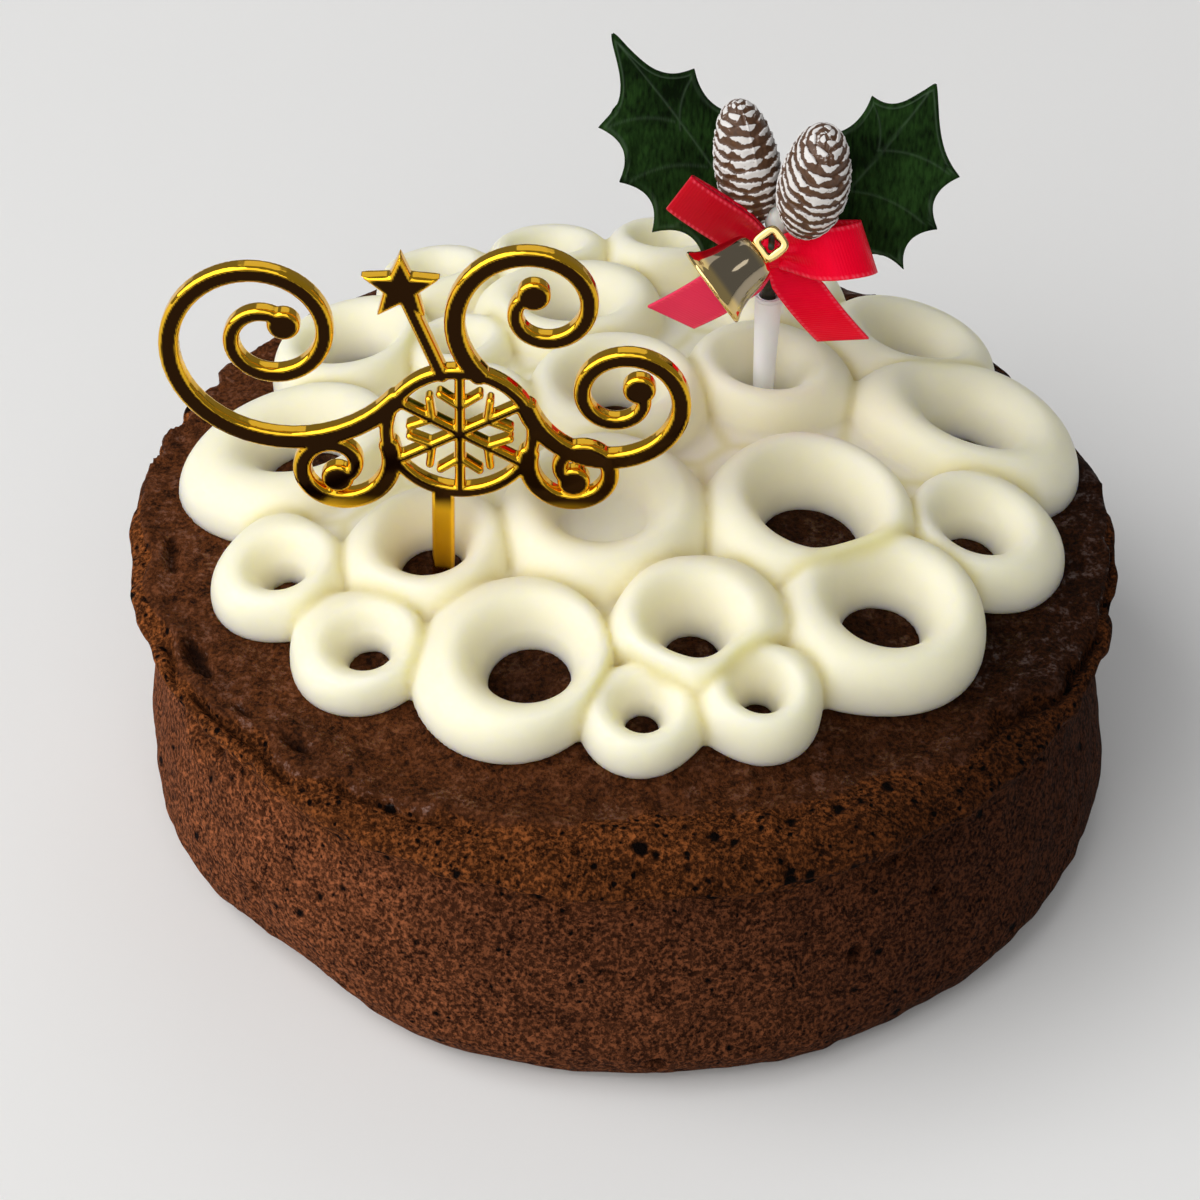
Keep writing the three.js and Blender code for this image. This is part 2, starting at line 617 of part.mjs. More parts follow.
/** Ribbon tail from the knot to a slanted cut. */
function bowTail([cornerA, cornerB]) {
  const a = vec(cornerA);
  const b = vec(cornerB);
  const knot = vec(KNOT_AT);
  const reach = a.clone().add(b).multiplyScalar(0.5).sub(knot);
  const side = a.clone().sub(b).setY(0);
  const grid = [];
  for (let i = 0; i <= 6; i += 1) {
    const t = i / 6;
    const half = Math.min(1, TAIL_PINCH + TAIL_SPREAD * t) / 2;
    const middle = knot.clone().addScaledVector(reach, t);
    middle.y -= TAIL_BULGE * Math.sin(Math.PI * t) - TAIL_BACK;
    grid.push([-half, half].map((w) => middle.clone().addScaledVector(side, w)));
  }
  const push = new THREE.Vector3(0, -RIBBON_THICK / 2, 0);
  return slab(grid, () => push);
}

function bow(cuts) {
  let body = join([ellipsoid(KNOT_AT, KNOT_RADII), ...LOOPS.map(bowLoop), ...TAILS.map(bowTail)]);
  cuts.forEach((cut) => {
    body = body.subtract(cut);
  });
  return body;
}

/** Bell about its own axis, crown at the origin and mouth down, with a square hanger. */
function bell() {
  const flare = [[0.44, 0.02], [0.55, 0.12], [0.62, 0.3], [0.72, 0.55], [0.87, 0.83], [1, 0.95], [1, 1]];
  const outside = flare.map(([r, t]) => [r * BELL_MOUTH, -t * BELL_LENGTH]);
  const inside = flare.slice(1, 6).map(([r, t], i) => [r * BELL_MOUTH - BELL_WALL,
    -t * BELL_LENGTH - (i ? BELL_STEP : BELL_WALL)]);
  const profile = [[0, 0.2], ...outside, ...inside.reverse(), [0, -0.12 * BELL_LENGTH - BELL_WALL]];
  const half = HANGER_SIZE / 2;
  const hole = HANGER_HOLE / 2;
  const square = (h) => [[-h, -h], [h, -h], [h, h], [-h, h]].map(([x, y]) => new THREE.Vector2(x, y));
  const outline = new THREE.Shape(square(half));
  outline.holes.push(new THREE.Path(square(hole)));
  const hanger = new THREE.ExtrudeGeometry(outline, { depth: HANGER_THICK, bevelEnabled: false });
  hanger.translate(0, half - 0.3, -HANGER_THICK / 2).rotateX(Math.PI / 2);
  return solid(lathe(profile, 20)).add(solid(hanger));
}

/** Bell hung in front of the knot, its hanger facing the front. */
function hungBell() {
  const up = vec(BELL_AXIS).normalize();
  const face = new THREE.Vector3(0, -0.766, 0.643);
  face.addScaledVector(up, -face.dot(up)).normalize();
  const side = new THREE.Vector3().crossVectors(up, face).negate();
  const geometry = shape(bell()).applyMatrix4(
    new THREE.Matrix4().makeBasis(side, face.clone().negate(), up).setPosition(...BELL_CROWN));
  return solid(geometry);
}

const stem = wire(0);
const stemClear = wire(GAP);
const hulls = Object.values(CONES).map(coneHull);
const glueClear = ellipsoid(GLUE_AT, GLUE_RADII.map((r) => r + GAP));
const glueDrop = ellipsoid(GLUE_AT, GLUE_RADII).subtract(stemClear);
const glue = hulls.reduce((left, hull) => left.subtract(hull), glueDrop);

const dessert = new THREE.Group();
dessert.add(node("cake", cake(), 0x3a2117, 0.8));
dessert.add(node("cream_rings", cream(), 0xf1eddb, 0.35));

const decoration = new THREE.Group();
const gold = node("gold_topper", topper(), 0xd8a52c, 0.12, 1);
gold.position.set(...TOPPER_AT);
decoration.add(gold);

const pick = new THREE.Group();
pick.add(node("pick_stick", pickStick(0, true), 0xf2f2f4, 0.35));
pick.add(node("stem_wire", stem, 0x2c3320, 0.5, 0.4));
pick.add(node("glue_dab", glue, 0xcfcfcb, 0.3));
Object.entries(LEAVES).forEach(([name, outline]) => pick.add(node(name, leaf(outline), 0x16301a, 0.85)));
Object.entries(CONES).forEach(([name, form]) => {
  pick.add(node(name, cone(form).subtract(stemClear), 0x6b4433, 0.8));
});
pick.add(node("ribbon_bow", bow([stemClear, glueClear, ...hulls]), 0xc3001f, 0.4));
pick.add(node("bell", hungBell(), 0xb99a55, 0.18, 1));
decoration.add(pick);
dessert.add(decoration);

export default dessert;
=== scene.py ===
"""Looks of a chocolate Christmas cake: baked sponge, fused cream rings, gold topper and holly pick."""
import itertools
import logging
from collections.abc import Iterable
from dataclasses import dataclass
from enum import Enum
from typing import NamedTuple

import bpy
import numpy as np
from mathutils import Matrix


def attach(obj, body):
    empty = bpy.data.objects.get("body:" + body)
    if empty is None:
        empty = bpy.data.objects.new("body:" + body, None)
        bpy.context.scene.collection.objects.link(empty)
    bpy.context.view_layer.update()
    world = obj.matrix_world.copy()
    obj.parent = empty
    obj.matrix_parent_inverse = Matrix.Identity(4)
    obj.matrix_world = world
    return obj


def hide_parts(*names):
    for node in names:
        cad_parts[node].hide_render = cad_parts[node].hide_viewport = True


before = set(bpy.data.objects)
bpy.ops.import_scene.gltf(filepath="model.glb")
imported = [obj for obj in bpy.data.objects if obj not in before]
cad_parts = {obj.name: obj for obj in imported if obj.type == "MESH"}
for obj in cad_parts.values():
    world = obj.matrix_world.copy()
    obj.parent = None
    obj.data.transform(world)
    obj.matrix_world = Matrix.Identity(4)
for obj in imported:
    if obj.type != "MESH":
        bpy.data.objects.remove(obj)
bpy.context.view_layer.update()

MM = 0.001
BODY = "root"
Array = np.ndarray
LOG = logging.getLogger("cake")


class Slot(Enum):
    """Material slots of the record."""

    SPONGE = "chocolate_sponge"
    CREAM = "cream"
    GOLD = "gold_plastic"
    STICK = "white_plastic"
    WIRE = "green_wire"
    GLUE = "glue"
    LEAF = "leaf_fabric"
    CONE = "painted_cone"
    SATIN = "red_satin"
    BELL = "gold_bell"


# Noise, curves and grids


# Large odd numbers, one for each number of a lattice cell, and two more that mix the bits
CELL_KEYS = (73856093, 19349663, 83492791)
SEED_KEY = 7919
MIX_KEYS = (0xFF51AFD7ED558CCD, 0xC4CEB9FE1A85EC53)
LOW_BITS = 0xFFFFFF


def scatter(cells: Array, seed: int) -> Array:
    """Random fractions that belong to whole-number lattice cells.

    Formula: each of a cell's three numbers times its own large odd number, mixed bit by bit with the
    seed, multiplied once more and folded; the low 24 bits are the fraction.

    Args:
        cells: whole numbers, three to a cell.
        seed: picks another set of fractions.

    Returns:
        One number from 0 to 1 for each cell.
    """
    whole = cells.astype(np.int64).astype(np.uint64)
    x, y, z = (whole[..., k] * np.uint64(number) for k, number in enumerate(CELL_KEYS))
    key = (x ^ y ^ z ^ np.uint64(seed * SEED_KEY + 13)) * np.uint64(MIX_KEYS[0])
    key = (key ^ (key >> np.uint64(33))) * np.uint64(MIX_KEYS[1])
    key = key ^ (key >> np.uint64(29))
    return (key & np.uint64(LOW_BITS)).astype(float) / LOW_BITS


def ripple(points: Array, size: float, seed: int) -> Array:
    """Smooth noise: random values on a cubic lattice, blended by the cubic 3t^2 - 2t^3 in each direction.

    Args:
        points: places in millimetres, one to a row.
        size: the lattice's spacing in millimetres.
        seed: picks another noise.

    Returns:
        One number from -1 to 1 for each place.
    """
    place = points / size
    cell = np.floor(place).astype(np.int64)
    part = place - cell
    part = part * part * (3 - 2 * part)
    total = np.zeros(len(points))
    for corner in itertools.product((0, 1), repeat=3):
        share = np.prod(np.where(np.array(corner) > 0, part, 1 - part), axis=-1)
        total += share * scatter(cell + np.array(corner), seed)
    return 2 * total - 1


def ripples(points: Array, waves: tuple) -> Array:
    """Sum of smooth noises.

    Args:
        points: places in millimetres, one to a row.
        waves: share, size in millimetres and seed of each noise.

    Returns:
        One number for each place.
    """
    return sum(share * ripple(points, size, seed) for share, size, seed in waves)


@dataclass(frozen=True)
class Pits:
    """Round pits scattered through space, at most one in each cell of a lattice; lengths in millimetres."""

    spacing: float
    small: float
    large: float
    chance: float
    seed: int

    def depth(self, points: Array) -> Array:
        """Depth from 0 to 1 at each place: 1 - (d/r)^2 at distance d from a pit of radius r.

        Args:
            points: places in millimetres, one to a row.

        Returns:
            The depth at each place.
        """
        place = points / self.spacing
        cell = np.floor(place).astype(np.int64)
        deepest = np.zeros(len(points))
        for corner in itertools.product((-1, 0, 1), repeat=3):
            near = cell + np.array(corner)
            middle = near + np.stack([scatter(near, self.seed + k) for k in range(3)], axis=-1)
            radius = self.small + (self.large - self.small) * scatter(near, self.seed + 3) ** 2
            away = np.linalg.norm(place - middle, axis=-1) * self.spacing
            bowl = np.where(scatter(near, self.seed + 4) < self.chance, 1 - (away / radius) ** 2, 0)
            deepest = np.maximum(deepest, bowl)
        return deepest


def ease(low: float, high: float, value: Array) -> Array:
    """Smooth step from 0 at low to 1 at high: 3t^2 - 2t^3 of the clamped share t."""
    t = np.clip((value - low) / (high - low), 0, 1)
    return t * t * (3 - 2 * t)


def through(control: Array, stops: Array) -> Array:
    """Catmull-Rom curve: between two control rows, the cubic through both, with slopes of half their
    neighbours' chord.

    Args:
        control: rows of values.
        stops: places counted in control rows, from 0 to the last.

    Returns:
        One row of values for each stop.
    """
    last = len(control) - 1
    at = np.clip(np.floor(stops).astype(int), 0, last - 1)
    f = (stops - at).reshape((-1,) + (1,) * (control.ndim - 1))
    p0, p1, p2, p3 = (control[np.clip(at + k, 0, last)] for k in (-1, 0, 1, 2))
    square = 2 * p0 - 5 * p1 + 4 * p2 - p3
    cube = 3 * p1 - p0 - 3 * p2 + p3
    return 0.5 * (2 * p1 + (p2 - p0) * f + square * f**2 + cube * f**3)


def unit(vector: Array) -> Array:
    """Vectors of length one in the same directions."""
    vector = np.asarray(vector, float)
    return vector / np.linalg.norm(vector, axis=-1, keepdims=True)


def grid_faces(rows: int, columns: int, first: int = 0, closed: bool = False) -> Array:
    """Quads of a grid of points stored row by row.

    Args:
        rows: number of rows.
        columns: number of points in a row.
        first: number of the grid's first point.
        closed: True where each row's end meets its beginning.

    Returns:
        Four point numbers for each quad.
    """
    i = np.arange(rows - 1)[:, None] * columns
    j = np.arange(columns if closed else columns - 1)[None, :]
    k = (j + 1) % columns
    quads = np.stack([i + j, i + k, i + columns + k, i + columns + j], axis=-1)
    return quads.reshape(-1, 4) + first


def grid_normals(points: Array, closed: bool = True) -> Array:
    """Normals of a grid of points: the cross product of the differences along a row and between rows."""
    if closed:
        along = np.roll(points, -1, axis=1) - np.roll(points, 1, axis=1)
    else:
        along = np.gradient(points, axis=1)
    across = np.gradient(points, axis=0)
    normal = np.cross(along, across)
    return normal / np.maximum(np.linalg.norm(normal, axis=-1, keepdims=True), 1e-9)


class Shell:
    """Points, faces and marks of one piece, gathered from several surfaces."""

    def __init__(self) -> None:
        """Starts empty."""
        self.points: list[Array] = []
        self.faces: list[list[int]] = []
        self.marks: dict[str, list[Array]] = {}
        self.count = 0

    def add(self, points: Array, faces: Array, **marks: Array) -> int:
        """Adds a surface.

        Args:
            points: places in millimetres.
            faces: point numbers, counted from this surface's first point.
            marks: a named value for each point.

        Returns:
            The number of the surface's first point.
        """
        first = self.count
        points = points.reshape(-1, 3)
        self.points.append(points)
        self.faces.extend((np.asarray(faces) + first).tolist())
        for name, values in marks.items():
            self.marks.setdefault(name, []).append(np.broadcast_to(values, points.shape[:1]).ravel())
        self.count += len(points)
        return first

    def add_round(self, rows: Array, **marks: Array) -> None:
        """Adds closed rows from one pole to the other; the first and the last row each shrink to their mean.

        Args:
            rows: grid of points, rows by columns, each row a closed ring.
            marks: a named value for each grid point.
        """
        count, columns = rows.shape[:2]
        ends = np.stack([rows[0].mean(axis=0), rows[-1].mean(axis=0)])
        full = {k: np.broadcast_to(v, rows.shape[:2]) for k, v in marks.items()}
        tips = {k: np.append(v.ravel(), [v[0].mean(), v[-1].mean()]) for k, v in full.items()}
        points = np.concatenate([rows.reshape(-1, 3), ends])
        first = self.add(points, grid_faces(count, columns, closed=True), **tips)
        j = np.arange(columns)
        k = (j + 1) % columns
        low, high = first + count * columns, first + count * columns + 1
        last = first + (count - 1) * columns
        self.faces.extend(np.stack([np.full(columns, low), first + k, first + j], axis=-1).tolist())
        self.faces.extend(np.stack([last + j, last + k, np.full(columns, high)], axis=-1).tolist())

    def piece(self, name: str, node: str, slot: Slot, material: bpy.types.Material) -> bpy.types.Object:
        """Makes the Blender object, which rides on the body and stands for its solid.

        Args:
            name: the piece's name.
            node: the solid that it replaces.
            slot: the record's slot; not used.
            material: its finish.

        Returns:
            The new object.
        """
        mesh = bpy.data.meshes.new(name)
        mesh.from_pydata((np.concatenate(self.points) * MM).tolist(), [], self.faces)
        for mark, parts in self.marks.items():
            layer = mesh.attributes.new(mark, "FLOAT", "POINT")
            layer.data.foreach_set("value", np.concatenate(parts).astype(np.float32))
        mesh.polygons.foreach_set("use_smooth", np.ones(len(mesh.polygons), bool))
        mesh.materials.append(material)
        mesh.update()
        item = bpy.data.objects.new(name, mesh)
        bpy.context.collection.objects.link(item)
        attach(item, BODY)
        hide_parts(node)
        LOG.info("%s: %d points, %d faces", name, len(mesh.vertices), len(mesh.polygons))
        return item


def surface_net(level: Array, low: Array, step: Array) -> tuple[Array, Array]:
    """Mesh of a field's zero level: one point in each grid cell that the level passes through, at the mean of
    its edges' crossings and then moved down the field's slope onto the level; a quad round each crossed edge.

    Args:
        level: the field on a box grid, negative inside.
        low: the grid's lowest corner.
        step: the grid's spacing in each direction.

    Returns:
        Points and quads.
    """
    inside = level < 0
    nx, ny, nz = level.shape
    corners = list(itertools.product((0, 1), repeat=3))
    held = sum(inside[a:nx - 1 + a, b:ny - 1 + b, c:nz - 1 + c].astype(np.int8) for a, b, c in corners)
    active = (held > 0) & (held < 8)
    cells = np.argwhere(active)
    number = np.full(active.shape, -1)
    number[active] = np.arange(len(cells))

    def read(offset: tuple[int, int, int]) -> Array:
        """Field at one corner of every active cell."""
        return level[cells[:, 0] + offset[0], cells[:, 1] + offset[1], cells[:, 2] + offset[2]]

    values = {corner: read(corner) for corner in corners}
    total = np.zeros((len(cells), 3))
    hits = np.zeros(len(cells))
    for axis in range(3):
        for start in corners:
            if start[axis]:
                continue
            stop = tuple(1 if k == axis else start[k] for k in range(3))
            f0, f1 = values[start], values[stop]
            crossed = (f0 < 0) != (f1 < 0)
            share = np.where(crossed, f0 / np.where(crossed, f0 - f1, 1), 0)
            total += np.where(crossed[:, None], np.array(start) + share[:, None] * np.eye(3)[axis], 0)
            hits += crossed
    spot = total / hits[:, None]
    for _ in range(3):
        height = np.zeros(len(cells))
        slope = np.zeros((len(cells), 3))
        for corner in corners:
            weight = np.where(np.array(corner) > 0, spot, 1 - spot)
            height += values[corner] * weight.prod(axis=1)
            for axis in range(3):
                rest = np.delete(weight, axis, axis=1).prod(axis=1)
                slope[:, axis] += values[corner] * rest * (1 if corner[axis] else -1)
        slope /= step**2 / step.min() ** 2
        size = (slope**2 * (step / step.min()) ** 2).sum(axis=1)
        spot = np.clip(spot - (height / np.maximum(size, 1e-6))[:, None] * slope, 0, 1)
    points = low + (cells + spot) * step
    quads = []
    for axis in range(3):
        u, v = (axis + 1) % 3, (axis + 2) % 3
        span = [slice(None)] * 3
        span[axis] = slice(0, level.shape[axis] - 1)
        ahead = [slice(None)] * 3
        ahead[axis] = slice(1, None)
        change = inside[tuple(span)].astype(np.int8) - inside[tuple(ahead)].astype(np.int8)
        edges = np.argwhere(change != 0)
        sign = change[change != 0]
        limits = np.array(active.shape)
        keep = (edges[:, u] > 0) & (edges[:, v] > 0) & (edges[:, u] < limits[u]) & (edges[:, v] < limits[v])
        edges, sign = edges[keep], sign[keep]
        eu, ev = np.eye(3, dtype=int)[u], np.eye(3, dtype=int)[v]
        ring = [number[tuple((edges - eu * a - ev * b).T)] for a, b in ((1, 1), (0, 1), (0, 0), (1, 0))]
        ring = np.stack(ring, axis=-1)
        ring[sign < 0] = ring[sign < 0, ::-1]
        quads.append(ring)
    return points, np.concatenate(quads)


def between(grid: Array, places: Array) -> Array:
    """Values between a grid's points: each corner of a place's cell is weighted by how near it is.

    Args:
        grid: values on the grid.
        places: places in grid steps, one column for each direction of the grid.

    Returns:
        One value for each place.
    """
    cell = np.clip(np.floor(places).astype(int), 0, np.array(grid.shape) - 2)
    share = places - cell
    total = np.zeros(len(places))
    for corner in np.ndindex(*[2] * grid.ndim):
        near = np.where(np.array(corner) == 1, share, 1 - share).prod(axis=1)
        total += near * grid[tuple((cell + np.array(corner)).T)]
    return total


def ball_grid(rows: int, columns: int, pole: float) -> tuple[Array, Array, Array]:
    """Points of a unit ball, row by row from its lowest to its highest.

    Args:
        rows: number of rows.
        columns: points in a row.
        pole: angle that the first and the last row keep from the poles.

    Returns:
        The polar angles, the turns and the grid of points.
    """
    polar = np.linspace(pole, np.pi - pole, rows)[:, None]
    a = np.linspace(0, 2 * np.pi, columns, endpoint=False)[None, :]
    r = np.sin(polar)
    return polar, a, np.stack([r * np.cos(a), r * np.sin(a), -np.cos(polar) + 0 * a], axis=-1)


# Finishes


class Kind(Enum):
    """Kinds of shader node that the finishes use."""

    PLACE = "ShaderNodeTexCoord"
    MAPPING = "ShaderNodeMapping"
    MARK = "ShaderNodeAttribute"
    NOISE = "ShaderNodeTexNoise"
    CELLS = "ShaderNodeTexVoronoi"
    RANGE = "ShaderNodeMapRange"
    MATH = "ShaderNodeMath"
    VECTOR = "ShaderNodeVectorMath"
    SPLIT = "ShaderNodeSeparateColor"
    MIX = "ShaderNodeMix"
    TINT = "ShaderNodeHueSaturation"
    BUMP = "ShaderNodeBump"


# Socket numbers of the mix node: its factor, its two numbers, its two colours and its colour output
FACTOR, NUMBER_A, NUMBER_B, COLOUR_A, COLOUR_B, COLOUR = 0, 2, 3, 6, 7, 2
Socket = bpy.types.NodeSocket


def linear(code: str) -> tuple[float, float, float, float]:
    """Linear colour of an sRGB hex code: v/12.92 below 0.04045, else ((v + 0.055)/1.055)^2.4."""
    parts = np.array([int(code[i:i + 2], 16) for i in (1, 3, 5)]) / 255
    out = np.where(parts <= 0.04045, parts / 12.92, ((parts + 0.055) / 1.055) ** 2.4)
    return (*out.tolist(), 1.0)


def per_metre(size_mm: float) -> float:
    """Texture scale that gives a pattern of that size in millimetres on Object coordinates."""
    return 1 / (size_mm * MM)


class Surface:
    """A material in the making: its node tree, its shader and the place that its patterns read."""

    def __init__(self, name: str) -> None:
        """Starts a material that has only its shader.

        Args:
            name: the material's name.
        """
        self.material = bpy.data.materials.new(name)
        self.material.use_nodes = True
        self.tree = self.material.node_tree
        self.shader = self.tree.nodes["Principled BSDF"]
        self.place = self.add_node(Kind.PLACE)["Object"]

    def feed(self, node: bpy.types.Node, inputs: dict) -> None:
        """Fills a node's input sockets, each with a value or from the output socket given for it."""
        for socket, value in inputs.items():
            if isinstance(value, Socket):
                self.tree.links.new(value, node.inputs[socket])
            else:
                node.inputs[socket].default_value = value

    def add_node(self, kind: Kind, inputs: dict | None = None, **settings: object) -> bpy.types.NodeOutputs:
        """Adds a node.

        Args:
            kind: the node's kind.
            inputs: for each input socket, a value or the output socket that feeds it.
            settings: the node's own properties.

        Returns:
            The node's output sockets.
        """
        node = self.tree.nodes.new(kind.value)
        for key, value in settings.items():
            setattr(node, key, value)
        self.feed(node, inputs or {})
        return node.outputs

    def finished(self, inputs: dict) -> bpy.types.Material:
        """The material, once its shader's sockets are filled."""
        self.feed(self.shader, inputs)
        return self.material


@dataclass(frozen=True)
class SpongeFinish:
    """Baked chocolate sponge: a matt crumb of fine grains with pores in painted shade, under a smoother,
    moist, darker crust."""

    crumb_dark: str = "#1f0a02"
    crumb_light: str = "#a35f3b"
    crown_dark: str = "#1c0a02"
    crown_light: str = "#a05a2c"
    crust_dark: str = "#1a0902"
    crust_light: str = "#744020"
    # near black painted shade of the pores, pits, tears and the hollow under the crust's edge
    painted_pore_shade: str = "#0c0402"
    grain_mm: float = 0.66
    clump_mm: float = 2.6
    patch_mm: float = 12
    pores_mm: tuple = (1.4, 3.4)
    bend_mm: float = 1.8
    bump_mm: float = 0.5
    moist: float = 0.6

    def material(self) -> bpy.types.Material:
        """Fine noise is cut hard into light crumbs and dark gaps, cells give each crumb a lightness of its
        own, and clumps and patches vary it. The crust, by its mark with an edge broken by noise, has softer
        grain and moist flecks. The pores take a painted shade. The painted shading mark scales the colour:
        painted shade to one side and under the cream, painted light on the other side."""
        surface = Surface("baked_chocolate_sponge")
        add = surface.add_node
        crust, crown, pit, painted_shading = (add(Kind.MARK, attribute_name=name)["Fac"]
                                    for name in ("crust", "crown", "painted_pore_shade", "painted_shading"))
        fine, clump, patch = (
            add(Kind.NOISE, {"Vector": surface.place, "Scale": per_metre(size), "Detail": detail,
                             "Roughness": 0.65})
            for size, detail in ((self.grain_mm, 3.0), (self.clump_mm, 4.0), (self.patch_mm, 3.0)))
        bend = add(Kind.VECTOR, {0: clump["Color"], 1: (0.5, 0.5, 0.5)}, operation="SUBTRACT")[0]
        bend = add(Kind.VECTOR, {0: bend, "Scale": self.bend_mm * MM}, operation="SCALE")[0]
        bent = add(Kind.VECTOR, {0: surface.place, 1: bend}, operation="ADD")[0]
        cells = [add(Kind.CELLS, {"Vector": bent, "Scale": per_metre(size)})
                 for size in (self.grain_mm, *self.pores_mm)]
        chances = [add(Kind.SPLIT, {0: cell["Color"]})[0] for cell in cells]
        crumb = add(Kind.RANGE, {"Value": fine["Fac"], "From Min": 0.41, "From Max": 0.58})[0]
        own = add(Kind.RANGE, {"Value": chances[0], "To Min": 0.6})[0]
        grain = add(Kind.MATH, {0: crumb, 1: own}, operation="MULTIPLY")[0]
        clot = add(Kind.RANGE, {"Value": clump["Fac"], "From Min": 0.34, "From Max": 0.64})[0]
        broad = add(Kind.RANGE, {"Value": patch["Fac"], "From Min": 0.3, "From Max": 0.6, "To Min": 0.7})[0]
        edge = add(Kind.MATH, {0: clump["Fac"], 1: crust}, operation="ADD")[0]
        skin = add(Kind.RANGE, {"Value": edge, "From Min": 0.75, "From Max": 1.15})[0]
        soft = add(Kind.RANGE, {"Value": skin, "To Min": 0.2, "To Max": 0.45})[0]
        tone = add(Kind.MIX, {FACTOR: soft, NUMBER_A: grain, NUMBER_B: clot})[0]
        shade = add(Kind.MATH, {0: tone, 1: broad}, operation="MULTIPLY")[0]
        painted_pore_shade = self.pores(surface, pit, crown, skin, zip(cells[1:], chances[1:]))
        crumbs, crowns, crusts = (
            add(Kind.MIX, {FACTOR: shade, COLOUR_A: linear(dark), COLOUR_B: linear(light)},
                data_type="RGBA")[COLOUR]
            for dark, light in ((self.crumb_dark, self.crumb_light), (self.crown_dark, self.crown_light),
                                (self.crust_dark, self.crust_light)))
        base = crumbs
        # the last layer is the painted shade of the pores, pits, hollows and tears
        for factor, layer in ((crown, crowns), (skin, crusts), (painted_pore_shade, linear(self.painted_pore_shade))):
            base = add(Kind.MIX, {FACTOR: factor, COLOUR_A: base, COLOUR_B: layer}, data_type="RGBA")[COLOUR]
        # painted light and shade: the colour scaled by a mark, darker to one side and under the cream
        base = add(Kind.TINT, {"Color": base, "Value": painted_shading})[0]
        rough = add(Kind.RANGE, {"Value": skin, "To Min": 0.9, "To Max": 0.65})[0]
        fleck = add(Kind.RANGE, {"Value": fine["Fac"], "From Min": 0.46, "From Max": 0.6,
                                 "To Max": self.moist})[0]
        wet = add(Kind.RANGE, {"Value": clump["Fac"], "From Min": 0.5, "From Max": 0.58})[0]
        gleam = add(Kind.MATH, {0: fleck, 1: wet}, operation="MULTIPLY")[0]
        gleam = add(Kind.MATH, {0: gleam, 1: skin}, operation="MULTIPLY")[0]
        relief = add(Kind.MATH, {0: tone, 1: painted_pore_shade}, operation="SUBTRACT")[0]
        depth = add(Kind.RANGE, {"Value": skin, "To Min": 1.0, "To Max": 0.6})[0]
        height = add(Kind.MATH, {0: relief, 1: depth}, operation="MULTIPLY")[0]
        bump = add(Kind.BUMP, {"Strength": 0.9, "Distance": self.bump_mm * MM, "Height": height})[0]
        return surface.finished({"Base Color": base, "Roughness": rough, "Specular IOR Level": 0.05,
                                 "Coat Weight": gleam, "Coat Roughness": 0.2, "Normal": bump})

    @staticmethod
    def pores(surface: Surface, pit: Socket, crown: Socket, skin: Socket, spreads: Iterable) -> Socket:
        """Painted shade of the pores over the modelled pits: in each cell a round one of random size, larger in
        the crown and smaller under the crust; it is dark where the cell's distance is less than its radius.

        Args:
            surface: the material.
            pit: the painted shade of the modelled pits, hollows and tears.
            crown: mark of the crown.
            skin: mark of the crust.
            spreads: the cells of each size of the pores, with their random numbers.

        Returns:
            The pores' painted shade.
        """
        add = surface.add_node
        open_crumb = add(Kind.RANGE, {"Value": skin, "To Min": 1.0, "To Max": 0.3})[0]
        painted_pore_shade = pit
        for cell, chance in spreads:
            chance = add(Kind.MATH, {0: crown, 1: 0.25, 2: chance}, operation="MULTIPLY_ADD")[0]
            radius = add(Kind.RANGE, {"Value": chance, "From Min": 0.36, "From Max": 1.25, "To Max": 0.38})[0]
            radius = add(Kind.MATH, {0: radius, 1: open_crumb}, operation="MULTIPLY")[0]
            past = add(Kind.MATH, {0: cell["Distance"], 1: radius}, operation="SUBTRACT")[0]
            hole = add(Kind.RANGE, {"Value": past, "From Min": 0.02, "From Max": -0.12})[0]
            painted_pore_shade = add(Kind.MATH, {0: painted_pore_shade, 1: hole}, operation="MAXIMUM")[0]
        return painted_pore_shade


@dataclass(frozen=True)
class CreamFinish:
    """Set white chocolate cream: smooth, slightly translucent, ivory, with a yellow painted shade in the
    creases where rings meet.
    """

    body: str = "#f4eed4"
    # yellow painted shade for the creases, and how much of it
    fold: str = "#dfd698"
    crease_shade_share: float = 0.7
    wave_mm: float = 7
    glow_mm: float = 6
    bump_mm: float = 0.4

    def material(self) -> bpy.types.Material:
        """Ivory mixed towards a yellow painted shade by the crease mark, with a faint wave in the skin."""
        surface = Surface("set_white_cream")
        add = surface.add_node
        crease = add(Kind.MARK, attribute_name="crease")["Fac"]
        wave = add(Kind.NOISE, {"Vector": surface.place, "Scale": per_metre(self.wave_mm),
                                "Detail": 2.0})["Fac"]
        # painted shade: the crease mark times its share
        fade = add(Kind.MATH, {0: crease, 1: self.crease_shade_share}, operation="MULTIPLY")[0]
        base = add(Kind.MIX, {FACTOR: fade, COLOUR_A: linear(self.body), COLOUR_B: linear(self.fold)},
                   data_type="RGBA")[COLOUR]
        rough = add(Kind.RANGE, {"Value": wave, "To Min": 0.36, "To Max": 0.5})[0]
        bump = add(Kind.BUMP, {"Strength": 0.12, "Distance": self.bump_mm * MM, "Height": wave})[0]
        return surface.finished({"Base Color": base, "Roughness": rough, "Specular IOR Level": 0.3,
                                 "Subsurface Weight": 1.0, "Subsurface Radius": (1.0, 1.0, 0.5),
                                 "Subsurface Scale": self.glow_mm * MM, "Normal": bump})


